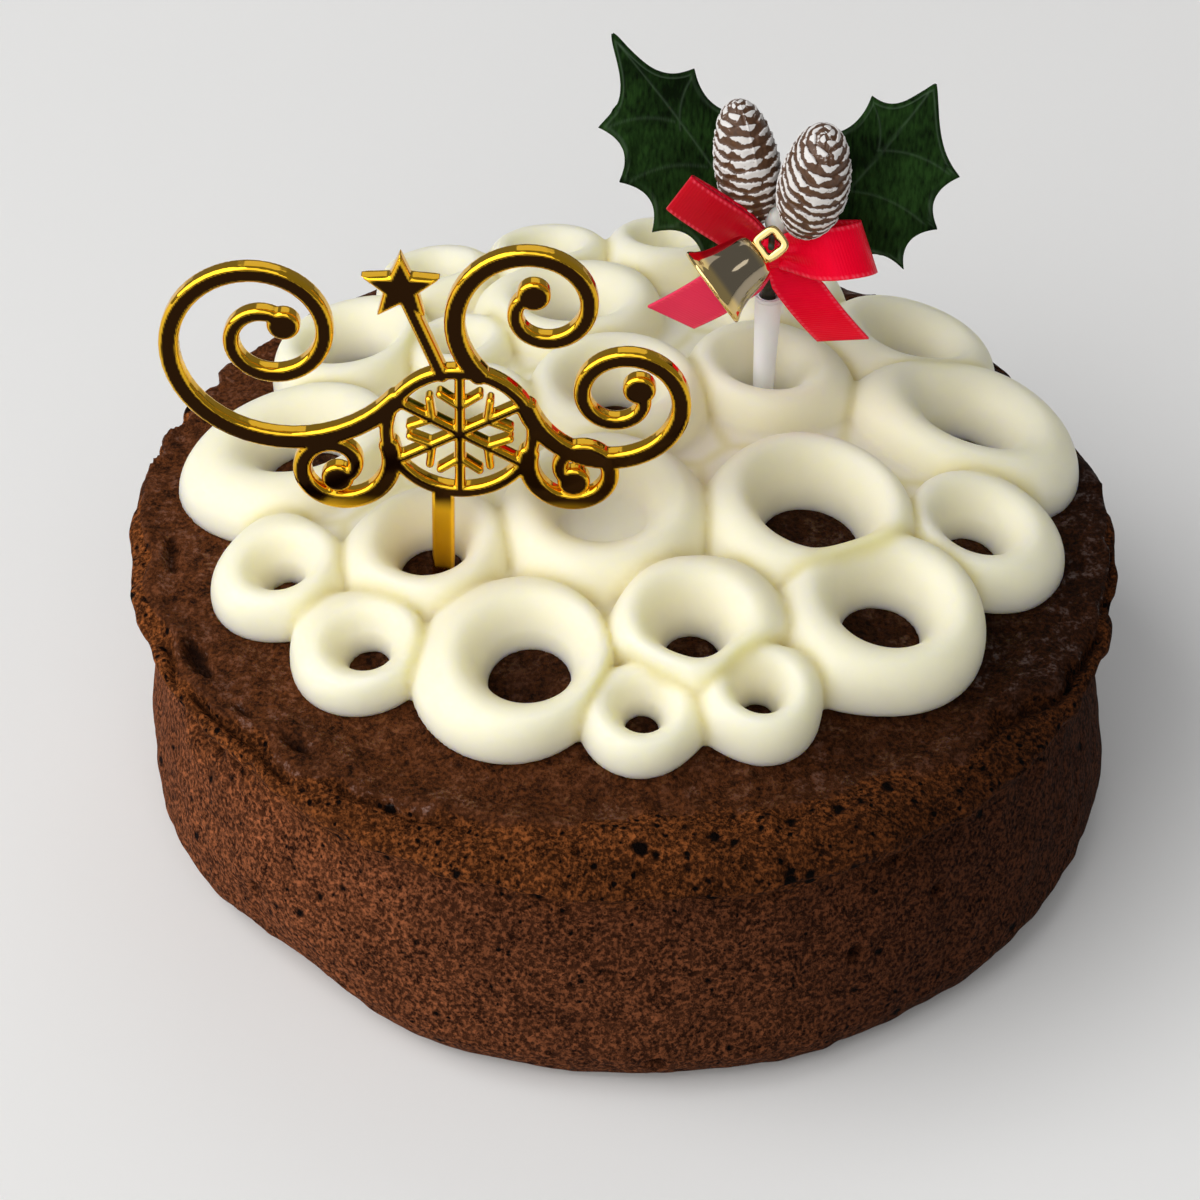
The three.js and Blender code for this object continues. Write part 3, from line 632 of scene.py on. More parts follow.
@dataclass(frozen=True)
class PlatingFinish:
    """Gold plating on moulded plastic: a mirror whose broad faces are painted dark, a painted dark reflection,
    and whose edges flash gold.
    """

    name: str = "gold_mirror_plating"
    # painted dark reflection of the broad faces, and the gold of the edges
    face: str = "#2c1a0a"
    edge: str = "#f0b92c"
    rough: float = 0.07
    wave_mm: float = 9
    bump_mm: float = 0.2

    def material(self) -> bpy.types.Material:
        """Metal, its colour mixed by the face mark from the edge gold to the painted dark reflection of the
        faces, with a slow wave in the plating.
        """
        surface = Surface(self.name)
        add = surface.add_node
        face = add(Kind.MARK, attribute_name="face")["Fac"]
        wave = add(Kind.NOISE, {"Vector": surface.place, "Scale": per_metre(self.wave_mm),
                                "Detail": 1.0})["Fac"]
        base = add(Kind.MIX, {FACTOR: face, COLOUR_A: linear(self.edge), COLOUR_B: linear(self.face)},
                   data_type="RGBA")[COLOUR]
        rough = add(Kind.RANGE, {"Value": wave, "To Min": self.rough, "To Max": self.rough * 1.8})[0]
        bump = add(Kind.BUMP, {"Strength": 0.05, "Distance": self.bump_mm * MM, "Height": wave})[0]
        return surface.finished({"Base Color": base, "Metallic": 1.0, "Roughness": rough, "Normal": bump})


@dataclass(frozen=True)
class MouldedFinish:
    """Moulded plastic, wrapped wire or set glue: one colour with faint streaks along the piece."""

    name: str
    light: str
    dark: str
    streak_mm: float
    rough: float
    clear: float = 0.0
    glow_mm: float = 1
    bump_mm: float = 0.1

    def material(self) -> bpy.types.Material:
        """Two close colours mixed by noise drawn out along Z; light passes a little way in where it is
        clear."""
        surface = Surface(self.name)
        add = surface.add_node
        drawn = add(Kind.MAPPING, {"Vector": surface.place, "Scale": (1.0, 1.0, 0.25)})[0]
        streak = add(Kind.NOISE, {"Vector": drawn, "Scale": per_metre(self.streak_mm), "Detail": 3.0})["Fac"]
        base = add(Kind.MIX, {FACTOR: streak, COLOUR_A: linear(self.dark), COLOUR_B: linear(self.light)},
                   data_type="RGBA")[COLOUR]
        rough = add(Kind.RANGE, {"Value": streak, "To Min": self.rough * 0.8, "To Max": self.rough * 1.2})[0]
        bump = add(Kind.BUMP, {"Strength": 0.15, "Distance": self.bump_mm * MM, "Height": streak})[0]
        return surface.finished({"Base Color": base, "Roughness": rough, "Subsurface Weight": self.clear,
                                 "Subsurface Scale": self.glow_mm * MM, "Normal": bump})


@dataclass(frozen=True)
class LeafFinish:
    """Pressed velvet leaf: very dark green pile with paler embossed veins and border, and a dull sheen."""

    pile_dark: str = "#061203"
    pile_light: str = "#223d17"
    vein: str = "#6a8068"
    pile_mm: float = 0.5
    patch_mm: float = 9
    bump_mm: float = 0.15

    def material(self) -> bpy.types.Material:
        """Two greens mixed by noise stretched along Z, the vein mark over them."""
        surface = Surface("pressed_green_velvet")
        add = surface.add_node
        drawn = add(Kind.MAPPING, {"Vector": surface.place, "Scale": (1.0, 1.0, 0.14)})[0]
        pile = add(Kind.NOISE, {"Vector": drawn, "Scale": per_metre(self.pile_mm), "Detail": 4.0})["Fac"]
        patch = add(Kind.NOISE, {"Vector": surface.place, "Scale": per_metre(self.patch_mm),
                                 "Detail": 2.0})["Fac"]
        vein = add(Kind.MARK, attribute_name="vein")["Fac"]
        blend = add(Kind.MATH, {0: pile, 1: patch}, operation="MULTIPLY")[0]
        tone = add(Kind.RANGE, {"Value": blend, "From Min": 0.14, "From Max": 0.4})[0]
        base = add(Kind.MIX, {FACTOR: tone, COLOUR_A: linear(self.pile_dark),
                              COLOUR_B: linear(self.pile_light)}, data_type="RGBA")[COLOUR]
        base = add(Kind.MIX, {FACTOR: vein, COLOUR_A: base, COLOUR_B: linear(self.vein)},
                   data_type="RGBA")[COLOUR]
        rough = add(Kind.RANGE, {"Value": pile, "To Min": 0.6, "To Max": 0.9})[0]
        bump = add(Kind.BUMP, {"Strength": 0.4, "Distance": self.bump_mm * MM, "Height": pile})[0]
        return surface.finished({"Base Color": base, "Roughness": rough, "Specular IOR Level": 0.04,
                                 "Normal": bump})


@dataclass(frozen=True)
class ConeFinish:
    """Moulded cone: brown plastic with white paint brushed over the raised scale edges."""

    brown_dark: str = "#331d0d"
    brown_light: str = "#6a4528"
    paint: str = "#dedad7"
    brush_mm: float = 0.6
    bump_mm: float = 0.12

    def material(self) -> bpy.types.Material:
        """Brown mixed by noise; white where the paint mark, roughened by brush marks, is high."""
        surface = Surface("painted_moulded_cone")
        add = surface.add_node
        brush = add(Kind.NOISE, {"Vector": surface.place, "Scale": per_metre(self.brush_mm),
                                 "Detail": 4.0})["Fac"]
        paint = add(Kind.MARK, attribute_name="paint")["Fac"]
        worn = add(Kind.MATH, {0: paint, 1: brush}, operation="ADD")[0]
        cover = add(Kind.RANGE, {"Value": worn, "From Min": 0.92, "From Max": 1.08})[0]
        base = add(Kind.MIX, {FACTOR: brush, COLOUR_A: linear(self.brown_dark),
                              COLOUR_B: linear(self.brown_light)}, data_type="RGBA")[COLOUR]
        base = add(Kind.MIX, {FACTOR: cover, COLOUR_A: base, COLOUR_B: linear(self.paint)},
                   data_type="RGBA")[COLOUR]
        rough = add(Kind.RANGE, {"Value": cover, "To Min": 0.45, "To Max": 0.75})[0]
        bump = add(Kind.BUMP, {"Strength": 0.35, "Distance": self.bump_mm * MM, "Height": worn})[0]
        return surface.finished({"Base Color": base, "Roughness": rough, "Normal": bump})


@dataclass(frozen=True)
class SatinFinish:
    """Polyester satin ribbon: bright red, fine cross ribs, stitched selvage, a soft streaked gloss, a painted
    shade on one strip and a painted sheen on another.
    """

    body: str = "#ff0230"
    shade: str = "#ee0020"
    # painted shade for one strip, and a pale painted sheen for another
    dim: str = "#b4061a"
    pale: str = "#f2456c"
    edge: str = "#ff5c70"
    gleam: str = "#ff4470"
    rib_mm: float = 0.45
    streak_mm: float = 3
    bump_mm: float = 0.05

    def material(self) -> bpy.types.Material:
        """Ribs run across the ribbon by the along mark; the dim mark mixes in a painted shade, the pale mark a
        painted sheen, and the edge mark the stitches' colour.
        """
        surface = Surface("red_polyester_satin")
        add = surface.add_node
        along = add(Kind.MARK, attribute_name="along")["Fac"]
        turns = add(Kind.MATH, {0: along, 1: 6.283 / self.rib_mm}, operation="MULTIPLY")[0]
        rib = add(Kind.MATH, {0: turns}, operation="SINE")[0]
        streak = add(Kind.NOISE, {"Vector": surface.place, "Scale": per_metre(self.streak_mm),
                                  "Detail": 2.0})["Fac"]
        base = add(Kind.MIX, {FACTOR: streak, COLOUR_A: linear(self.shade), COLOUR_B: linear(self.body)},
                   data_type="RGBA")[COLOUR]
        # painted shade and painted sheen by their marks, then the stitches' colour
        for mark, colour in (("dim", self.dim), ("pale", self.pale), ("edge", self.edge)):
            share = add(Kind.MARK, attribute_name=mark)["Fac"]
            base = add(Kind.MIX, {FACTOR: share, COLOUR_A: base, COLOUR_B: linear(colour)},
                       data_type="RGBA")[COLOUR]
        rough = add(Kind.RANGE, {"Value": streak, "To Min": 0.3, "To Max": 0.42})[0]
        bump = add(Kind.BUMP, {"Strength": 0.25, "Distance": self.bump_mm * MM, "Height": rib})[0]
        return surface.finished({"Base Color": base, "Roughness": rough, "Specular IOR Level": 0.8,
                                 "Specular Tint": linear(self.gleam), "Normal": bump})


@dataclass(frozen=True)
class FloorFinish:
    """Matt white studio board."""

    tone: str = "#f7f6f4"
    fleck: str = "#f1f0ee"
    cloud_mm: float = 300

    def material(self) -> bpy.types.Material:
        """Two near whites mixed by a broad noise."""
        surface = Surface("white_studio_board")
        add = surface.add_node
        cloud = add(Kind.NOISE, {"Vector": surface.place, "Scale": per_metre(self.cloud_mm)})["Fac"]
        base = add(Kind.MIX, {FACTOR: cloud, COLOUR_A: linear(self.tone), COLOUR_B: linear(self.fleck)},
                   data_type="RGBA")[COLOUR]
        return surface.finished({"Base Color": base, "Roughness": 0.95, "Specular IOR Level": 0.1})


# Sponge


def lump(a: Array, k: Array | float) -> Array:
    """Slow waver round the cake: three sines of 3, 5 and 9 turns."""
    return 0.5 * np.sin(3 * a + 0.8 + k) + 0.35 * np.sin(5 * a + 2.1 - k) + 0.25 * np.sin(9 * a + 2 * k)


@dataclass
class Sponge:
    """Round baked sponge with a domed top: its lip overhangs a waist, and its wall widens again to the
    foot. Lengths are in millimetres, angles in degrees; a level counts control rows from base to top."""

    lip_radius: float = 72.9
    lip_height: float = 41
    lip_tilt: float = 2.2
    lip_flank: float = 3
    crease_radius: float = 68.6
    crease_height: float = 33
    foot_shift: float = 1.3
    # angle and half width, depth and height of the dent in the foot
    dent: tuple = (-133, 13, 4.5, 16)
    dome_height: float = 54.5
    dome_back: float = 9
    dome_radius: float = 200
    shoulder_radius: float = 58
    columns: int = 640
    # radius and height of each row from the base to the crease
    low_rows: tuple = ((30, 0), (50, 0), (62.2, 0), (67.2, 0.5), (70.3, 2.6), (72.2, 6), (72.6, 9),
                       (71.6, 18.6), (69.9, 27), (68.6, 33))
    # share of the way up and out from the crease to the lip
    crown_rows: tuple = ((0.3, 0.1), (0.62, 0.52), (0.92, 1))
    shoulder_turns: tuple = (70, 45, 22, 0)
    dome_rows: tuple = (39, 19, 6)
    # mesh rows between each two control rows
    steps: tuple = (1, 2, 6, 5, 6, 5, 15, 13, 9, 5, 5, 5, 5, 7, 8, 9, 14, 12, 6)
    # level up to which the base lies flat, and those at which side, crown and top begin and are full
    base_to: float = 2.2
    side_from: tuple = (2.1, 4)
    crown_from: tuple = (8.2, 10.6)
    top_from: tuple = (13.3, 14.9)
    # levels of the crust's edge at the back and at the front, and the direction of the front
    crust_from: tuple = (13.3, 15.7)
    open_front: float = -80
    # share, size and seed of the noises that break up the crust's edge, the crown, the crumb and the tears
    crust_break: tuple = ((1, 9, 3), (0.6, 3.5, 4))
    crown_break: tuple = ((1, 10, 5), (0.5, 4, 6))
    crags: tuple = ((0.6, 7, 61), (0.45, 3.4, 62), (0.15, 1.7, 63))
    tear_break: tuple = ((1, 4, 71), (0.6, 1.8, 72))
    # x, y, half length round the cake, half width, depth of the tears in the crust
    tears: tuple = ((-60, -32, 7, 1.2, 1.8), (-53, -42, 4, 1, 1.4), (-44, -49, 4, 1.2, 1.6),
                    (-66, -10, 4, 0.9, 1.2))
    tears_above: float = 30
    large_pits: Pits = Pits(11, 1.0, 2.3, 0.4, 21)
    small_pits: Pits = Pits(4.6, 0.7, 1.5, 0.5, 31)
    large_depth: float = 1.5
    small_depth: float = 0.8
    # direction of the darkest painted shade, radii between which the cream stops covering the top
    shaded_side_at: float = -10
    cream_edge: tuple = (46, 56)

    def dome(self, x: Array, y: Array) -> Array:
        """Height of the domed top: a paraboloid with its highest point behind the middle."""
        return self.dome_height - (x**2 + (y - self.dome_back) ** 2) / (2 * self.dome_radius)

    def lip(self, a: Array) -> Array:
        """Height of the lip at an angle: higher at the back and at both flanks."""
        return self.lip_height + self.lip_tilt * np.sin(a) + self.lip_flank * np.cos(a) ** 2

    def top(self, x: Array, y: Array) -> Array:
        """Height of the top anywhere: the dome, and past the shoulder a quarter ellipse down to the lip."""
        a = np.arctan2(y, x)
        r = np.hypot(x, y)
        edge = self.shoulder_radius
        sine = np.clip((r - edge) / (self.lip_radius - edge), 0, 1)
        inner = self.dome(edge * np.cos(a), edge * np.sin(a))
        slope = self.lip(a) + (inner - self.lip(a)) * np.sqrt(1 - sine**2)
        return np.where(r < edge, self.dome(x, y), slope)

    def side_row(self, a: Array, radius: Array, z: Array) -> Array:
        """A ring of the side, moved sideways towards the foot and pressed in by a bell curve at the dent.

        Args:
            a: the angles of its points.
            radius: the radius at each.
            z: the height at each.

        Returns:
            The ring's points.
        """
        at, half, depth, height = self.dent
        turn = np.arctan2(np.sin(a - np.radians(at)), np.cos(a - np.radians(at)))
        pressed = np.exp(-((turn / np.radians(half)) ** 2)) * np.maximum(0, 1 - z / height)
        radius = radius - depth * pressed
        shift = self.foot_shift * np.maximum(0, 1 - z / self.lip_height)
        return np.stack([shift + radius * np.cos(a), radius * np.sin(a), z], axis=-1)

    def control(self, a: Array) -> Array:
        """Rows of the solid from the base to the middle of the top, each a ring of points at the angles a."""
        rows = []
        for r, z in self.low_rows:
            waver = 0.5 * lump(a, 0.1 * z) if z > 0 else 0 * a
            rows.append(self.side_row(a, r + waver, z + 0 * a))
        for rise, out in self.crown_rows:
            radius = self.crease_radius + (self.lip_radius - self.crease_radius) * out
            z = self.crease_height + (self.lip(a) - self.crease_height) * rise
            rows.append(self.side_row(a, radius + 0.4 * lump(a, 3 + rise), z))
        for turn in np.radians(self.shoulder_turns):
            r = self.shoulder_radius + (self.lip_radius - self.shoulder_radius) * np.sin(turn)
            x, y = r * np.cos(a), r * np.sin(a)
            z = self.top(x, y) + 0.6 * np.sin(turn) * lump(2 * a, np.degrees(turn))
            rows.append(np.stack([x, y, z], axis=-1))
        for r in self.dome_rows:
            x, y = r * np.cos(a), r * np.sin(a)
            rows.append(np.stack([x, y, self.dome(x, y)], axis=-1))
        return np.stack(rows)

    def tear(self, flat: Array) -> Array:
        """Depth of the torn places in the crust: ragged ovals that run round the cake."""
        wobble = ripples(flat, self.tear_break)
        total = np.zeros(len(flat))
        for x, y, length, width, depth in self.tears:
            out = unit([x, y])
            dx, dy = flat[:, 0] - x, flat[:, 1] - y
            along = (dy * out[0] - dx * out[1]) / length
            across = (dx * out[0] + dy * out[1]) / width
            oval = 1 - ease(0.5, 1.2, np.hypot(along, across) + 0.6 * wobble)
            total += depth * oval * (flat[:, 2] > self.tears_above)
        return total

    def relief(self, flat: Array, level: Array, within: Array, front: Array,
               marks: dict[str, Array]) -> tuple[Array, Array]:
        """Rise of the surface over the smooth form: crags, most of all in the crown's crumb, wrinkles in the
        crust near its edge, less a hollow under that edge, two sizes of pit and the tears.

        Args:
            flat: places on the smooth form.
            level: the level of each.
            within: how far each lies inside the crust's edge, in levels.
            front: 1 at the front, where the crust ends softly, and 0 at the back.
            marks: the crust and the crown.

        Returns:
            The rise in millimetres, and the painted shade of the pits, hollows and tears.
        """
        crust, crown = marks["crust"], marks["crown"]
        side = ease(*self.side_from, level)
        firm = 1 - 0.5 * front
        large = self.large_pits.depth(flat) * side * (1 - 0.5 * crust)
        small = self.small_pits.depth(flat) * side * (1 - crust) * (0.35 + 0.65 * crown)
        hollow = np.exp(-((within + 0.2) / 0.18) ** 2) * firm * side
        hollow = hollow * ease(-0.2, 0.3, ripple(flat, 6, 64))
        wrinkle = (1 - np.abs(ripple(flat, 7, 51))) ** 4
        proud = (0.3 + wrinkle) * (1 - ease(0.2, 1.1, within)) * firm
        tear = self.tear(flat)
        rise = side * ripples(flat, self.crags) * (0.55 + 0.6 * crown * (1 - crust) - 0.3 * crust)
        rise += crust * proud - 1.5 * hollow
        rise -= self.large_depth * large + self.small_depth * small + tear
        # painted shade of the pits, the hollow under the crust's edge and the tears
        return rise, np.clip(0.85 * large + 0.8 * small + 0.7 * hollow + 0.45 * tear, 0, 1)

    def painted_shading(self, flat: Array, level: Array, angle: Array) -> Array:
        """Painted light and shade: darker to one side, on the wall more than on the top, and under the
        cream; a little lighter on the other side."""
        towards = 0.5 + 0.5 * np.cos(angle - np.radians(self.shaded_side_at))
        top = ease(*self.top_from, level)
        covered = (1 - ease(*self.cream_edge, np.hypot(flat[:, 0], flat[:, 1]))) * top
        side_shade = (0.93 - 0.43 * top) * towards**1.3 + 0.35 * top * towards**6
        return np.maximum(0.3, (1.1 - side_shade * (1 - 0.7 * covered)) * (1 - 0.62 * covered))

    def build(self, finish: SpongeFinish) -> bpy.types.Object:
        """Carries a smooth curve through the solid's rows round the cake, then moves each point along its
        normal by the relief. The marks say where crust and crown are, and where shade is painted: in the
        pits, hollows and tears, to one side and under the cream, with painted light on the other side.

        Args:
            finish: the sponge's finish.

        Returns:
            The sponge.
        """
        a = np.linspace(0, 2 * np.pi, self.columns, endpoint=False)
        parts = [k + np.arange(n) / n for k, n in enumerate(self.steps)]
        stops = np.append(np.concatenate(parts), len(self.steps))
        rows = through(self.control(a), stops)
        rows[..., 2] = np.maximum(rows[..., 2], 0)
        flat = rows.reshape(-1, 3)
        level = np.repeat(stops, self.columns)
        angle = np.arctan2(flat[:, 1], flat[:, 0])
        front = np.maximum(0, np.cos(angle - np.radians(self.open_front))) ** 3
        back_edge, front_edge = self.crust_from
        within = level - back_edge - (front_edge - back_edge) * front
        within = within + 0.6 * ripples(flat, self.crust_break)
        marks = {"crust": ease(-0.12 - 0.4 * front, 0.18 + 0.5 * front, within),
                 "crown": ease(*self.crown_from, level + ripples(flat, self.crown_break))}
        rise, marks["painted_pore_shade"] = self.relief(flat, level, within, front, marks)
        flat = flat + grid_normals(rows).reshape(-1, 3) * rise[:, None]
        flat[:, 2] = np.where(level > self.base_to, np.maximum(flat[:, 2], 0.05), 0)
        # painted shading: shade to one side and under the cream, light on the other side
        marks["painted_shading"] = self.painted_shading(flat, level, angle)
        shell = Shell()
        marks = {name: mark.reshape(rows.shape[:2]) for name, mark in marks.items()}
        shell.add_round(flat.reshape(rows.shape), **marks)
        return shell.piece("sponge", "cake", Slot.SPONGE, finish.material())


# Cream


# A length beyond every size of the cake, and a share that keeps a division from failing
FAR = 1e3
TINY = 1e-6


class Ring(NamedTuple):
    """One ring of cream: its middle, the radii of its outside and its hole, its height, how far it is
    stretched and in which direction in degrees, and how far its hole is shifted that way. With no hole it
    is a bowl."""

    x: float
    y: float
    outer: float
    hole: float
    height: float
    stretch: float = 1
    turn: float = 0
    shift: float = 0


@dataclass
class Cream:
    """Rings of cream poured side by side on the dome, fused with tight creases; lengths in millimetres."""

    sponge: Sponge
    # grid spacing, and the corners of the box that holds the rings over the flattened dome
    step: float = 0.64
    low: tuple = (-70, -60, -2.2)
    high: tuple = (72, 70, 12.4)
    # how far the underside lies below the crust, share of the dome's sideways slope that the rings follow
    sink: float = 0.5
    lean: float = 0.4
    # share of a wall from the hole to the crest, power of the oval there, least width of a wall
    crest: float = 0.57
    funnel: float = 1.8
    least_wall: float = 3.2
    # height of the belly as a share of a ring's height, and the oval's half axis below it in bellies
    belly: float = 0.16
    foot: float = 1.7
    # room at which two rings still touch, how far they press, reach past their shares and round their cuts
    near: float = 3
    press: float = 1.5
    overlap: float = 1.2
    crease: float = 0.8
    fuse: float = 1.0
    # height of the web between the rings, its clearance round a hole, the width of its crease
    web: float = 3.6
    web_clear: float = 0.8
    web_fuse: float = 0.9
    # radius and floor of the bowl, the width of its crease
    crater: float = 6.5
    crater_floor: float = 3.4
    crater_fuse: float = 2.5
    rings: tuple = (
        Ring(2.7, -47.3, 8.2, 2.4, 7, shift=0.4), Ring(19.4, -44, 8.2, 2.4, 9, shift=-0.4),
        Ring(-15.1, -39.7, 14, 5.8, 8.4, shift=2.4), Ring(-36.6, -34.7, 9.5, 2.8, 6.8, 1.06, -30, 1.4),
        Ring(-49.5, -19.5, 9.6, 2.6, 7.8, 1.06, -30, 1.4), Ring(-27.9, -19.2, 11.7, 4.6, 8.4, shift=0.5),
        Ring(10.7, -35, 12.3, 4, 10.5, shift=-0.9), Ring(36.5, -27.2, 14.2, 5.5, 9.8, 1.07, 25),
        Ring(26.4, -11.1, 14.9, 7.2, 10.5, shift=0.3), Ring(52.2, -6.9, 11.8, 4, 8.5, 1.06, 25, -2),
        Ring(51, 16, 15.5, 5, 9.5, 1.13, -20, -0.5), Ring(42.5, 35, 13, 4, 9, 1.1, -25),
        Ring(19.9, 20, 12.4, 4.2, 9), Ring(-3.3, -13.5, 14.5, 0, 10),
        Ring(-49.8, 5.5, 14.2, 5, 8.5, 1.22, shift=2), Ring(-42, 30, 13, 5.5, 8.5),
        Ring(-9, 36.5, 14, 5, 9), Ring(-13.5, 55, 10, 3, 9),
        Ring(5, 56.5, 9.5, 3, 10), Ring(-31, 50, 9.5, 3, 8.5),
        Ring(22, 46, 11.5, 3.5, 9), Ring(-2, 12.5, 14, 5, 9.5),
        Ring(-24, 8, 11.5, 4, 9), Ring(-26, 27, 8.5, 2.4, 7.5),
    )
    # numbers of the rings on the rim, in order
    rim: tuple = (14, 15, 19, 17, 18, 20, 11, 10, 9, 7, 1, 0, 2, 3, 4)

    def local(self, ring: Ring, x: Array, y: Array) -> tuple[Array, Array]:
        """Places round a ring's middle in the dome's tangent plane, before its stretch and its hole's shift.
        The shift grows from nothing at the outside to its full length at the crest, found in three rounds.

        Args:
            ring: the ring.
            x: places across.
            y: places along.

        Returns:
            The distance from the middle, and the direction as an angle seen from above.
        """
        back, radius = self.sponge.dome_back, self.sponge.dome_radius
        normal = unit([ring.x / radius, (ring.y - back) / radius, 1])
        along = np.array([np.cos(np.radians(ring.turn)), np.sin(np.radians(ring.turn)), 0])
        along = unit(along - normal * (along @ normal))
        across = np.cross(normal, along)
        dx, dy = x - ring.x, y - ring.y
        dz = -(normal[0] * dx + normal[1] * dy) / normal[2]
        u = (along[0] * dx + along[1] * dy + along[2] * dz) / ring.stretch
        v = across[0] * dx + across[1] * dy + across[2] * dz
        wall = (ring.outer - self.inner(ring)) * (1 - self.crest)
        moved = u
        for _ in range(3):
            moved = u - ring.shift * np.clip((ring.outer - np.hypot(moved, v)) / wall, 0, 1)
        return np.hypot(moved, v), np.arctan2(dy, dx)

    def inner(self, ring: Ring) -> float:
        """Radius of a ring's hole, or of its crater where it has no hole."""
        return ring.hole if ring.hole > 0 else self.crater

    def ring_field(self, ring: Ring, rho: Array, h: Array, swell: Array) -> Array:
        """Distance to a ring. Its section is two quarter ovals that meet at the crest: the outer one has a
        belly that stands out over its foot, the inner one is nearly a cone. An oval is |a|^p + |b|^p = 1 of
        the place over the half axes; the distance is the p-norm less one, over the length of its slope.

        Args:
            ring: the ring.
            rho: distance from the ring's middle.
            h: height over the dome.
            swell: how much wider the outer oval is, by direction.

        Returns:
            The distance, negative inside.
        """
        inner = self.inner(ring)
        least = inner + self.least_wall
        crest = inner + self.crest * (np.maximum(ring.outer + 0.6 * np.minimum(swell, 0), least) - inner)
        outer = np.maximum(ring.outer + swell, least)
        floor = 0.0 if ring.hole > 0 else self.crater_floor
        outside = rho > crest
        half = np.where(outside, outer - crest, crest - inner)
        power = np.where(outside, 2.0, self.funnel)
        belly = self.belly * ring.height
        seat = np.where(outside, belly, floor)
        rise = np.where(h > seat, ring.height - seat, np.where(outside, self.foot * belly, FAR))
        q0, q1 = np.abs(rho - crest) / half + TINY, np.abs(h - seat) / rise + TINY
        norm = (q0**power + q1**power) ** (1 / power)
        slope = np.hypot((q0 / norm) ** (power - 1) / half, (q1 / norm) ** (power - 1) / rise)
        gap = (norm - 1) / slope
        if ring.hole == 0:
            gap = self.merged(gap, np.maximum(h - floor, rho - crest) + 0 * gap, self.crater_fuse)
        return gap

    def field(self) -> tuple[Array, Array]:
        """Field of all rings over the flattened dome. Each ring is cut back with a rounded edge a little past
        its share of the room to a neighbour, so that the joined rings meet in a crease; a web fills the rest.

        Returns:
            The field and the crease mark, which places the painted shade in the creases.
        """
        x, y, h = (np.arange(self.low[k], self.high[k], self.step) for k in range(3))
        flat_x, flat_y = np.meshgrid(x, y, indexing="ij")
        first = np.full((len(x), len(y), len(h)), 50.0)
        second = first.copy()
        joined = first.copy()
        web = np.maximum(h[None, None, :] - self.web, self.inside_rim(flat_x, flat_y)[:, :, None])
        for ring in self.rings:
            reach = ring.outer * ring.stretch + 4
            box = (slice(*np.searchsorted(x, (ring.x - reach, ring.x + reach))),
                   slice(*np.searchsorted(y, (ring.y - reach, ring.y + reach))))
            rho, gap = self.pressed(ring, flat_x[box], flat_y[box], h[None, None, :])
            second[box] = np.minimum(second[box], np.maximum(first[box], gap))
            first[box] = np.minimum(first[box], gap)
            joined[box] = self.merged(joined[box], gap, self.fuse)
            if ring.hole > 0:
                web[box] = np.maximum(web[box], (self.inner(ring) + self.web_clear - rho)[:, :, None])
        joined = self.merged(joined, web, self.web_fuse)
        back, radius = self.sponge.dome_back, self.sponge.dome_radius
        slope = np.sqrt(1 + (flat_x**2 + (flat_y - back) ** 2) / radius**2)
        crust = (self.sponge.top(flat_x, flat_y) - self.sponge.dome(flat_x, flat_y)) / slope
        joined = np.maximum(joined, (crust - self.sink)[:, :, None] - h[None, None, :])
        return joined, 1 - ease(0.1, 2.2, second - first)

    def pressed(self, ring: Ring, x: Array, y: Array, h: Array) -> tuple[Array, Array]:
        """A ring that presses on its neighbours and is cut back where it would run into them.

        Args:
            ring: the ring.
            x: places across.
            y: places along.
            h: heights over the dome.

        Returns:
            The distance of places from the ring's middle, and its field.
        """
        rho, angle = self.local(ring, x, y)
        mates = [mate for mate in self.rings if mate is not ring and self.touch(ring, mate)]
        gap = self.ring_field(ring, rho[:, :, None], h, self.swell(ring, mates, angle)[:, :, None])
        for mate in mates:
            run = np.array([mate.x - ring.x, mate.y - ring.y])
            chord = self.reach_towards(ring, mate) + self.room(ring, mate) + self.overlap
            past = ((x - ring.x) * run[0] + (y - ring.y) * run[1]) / np.hypot(*run) - chord
            gap = self.rounded(gap, past[:, :, None] + 0 * gap, self.crease)
        return rho, gap

    def inside_rim(self, x: Array, y: Array) -> Array:
        """Signed distance to the polygon through the rim rings' middles, negative inside."""
        corners = np.array([self.rings[i][:2] for i in self.rim])
        nearest = np.full(x.shape, FAR)
        inside = np.zeros(x.shape, bool)
        for (x0, y0), (x1, y1) in zip(corners, np.roll(corners, -1, axis=0)):
            run_x, run_y = x1 - x0, y1 - y0
            t = np.clip(((x - x0) * run_x + (y - y0) * run_y) / (run_x**2 + run_y**2), 0, 1)
            nearest = np.minimum(nearest, np.hypot(x - x0 - t * run_x, y - y0 - t * run_y))
            crosses = (y0 > y) != (y1 > y)
            inside ^= crosses & (x < x0 + np.where(crosses, run_x * (y - y0) / (run_y + 1e-12), 0))
        return np.where(inside, -nearest, nearest)

    def touch(self, ring: Ring, mate: Ring) -> bool:
        """True where two rings come close enough to fuse."""
        return bool(self.room(ring, mate) + self.room(mate, ring) < self.near)

    def room(self, ring: Ring, mate: Ring) -> float:
        """A ring's part of the room between its outer wall and another's, negative where they overlap: the
        parts go by the squares of the radii, so that the larger ring yields more."""
        apart = np.hypot(mate.x - ring.x, mate.y - ring.y)
        own, other = self.reach_towards(ring, mate), self.reach_towards(mate, ring)
        return (apart - own - other) * own**2 / (own**2 + other**2)

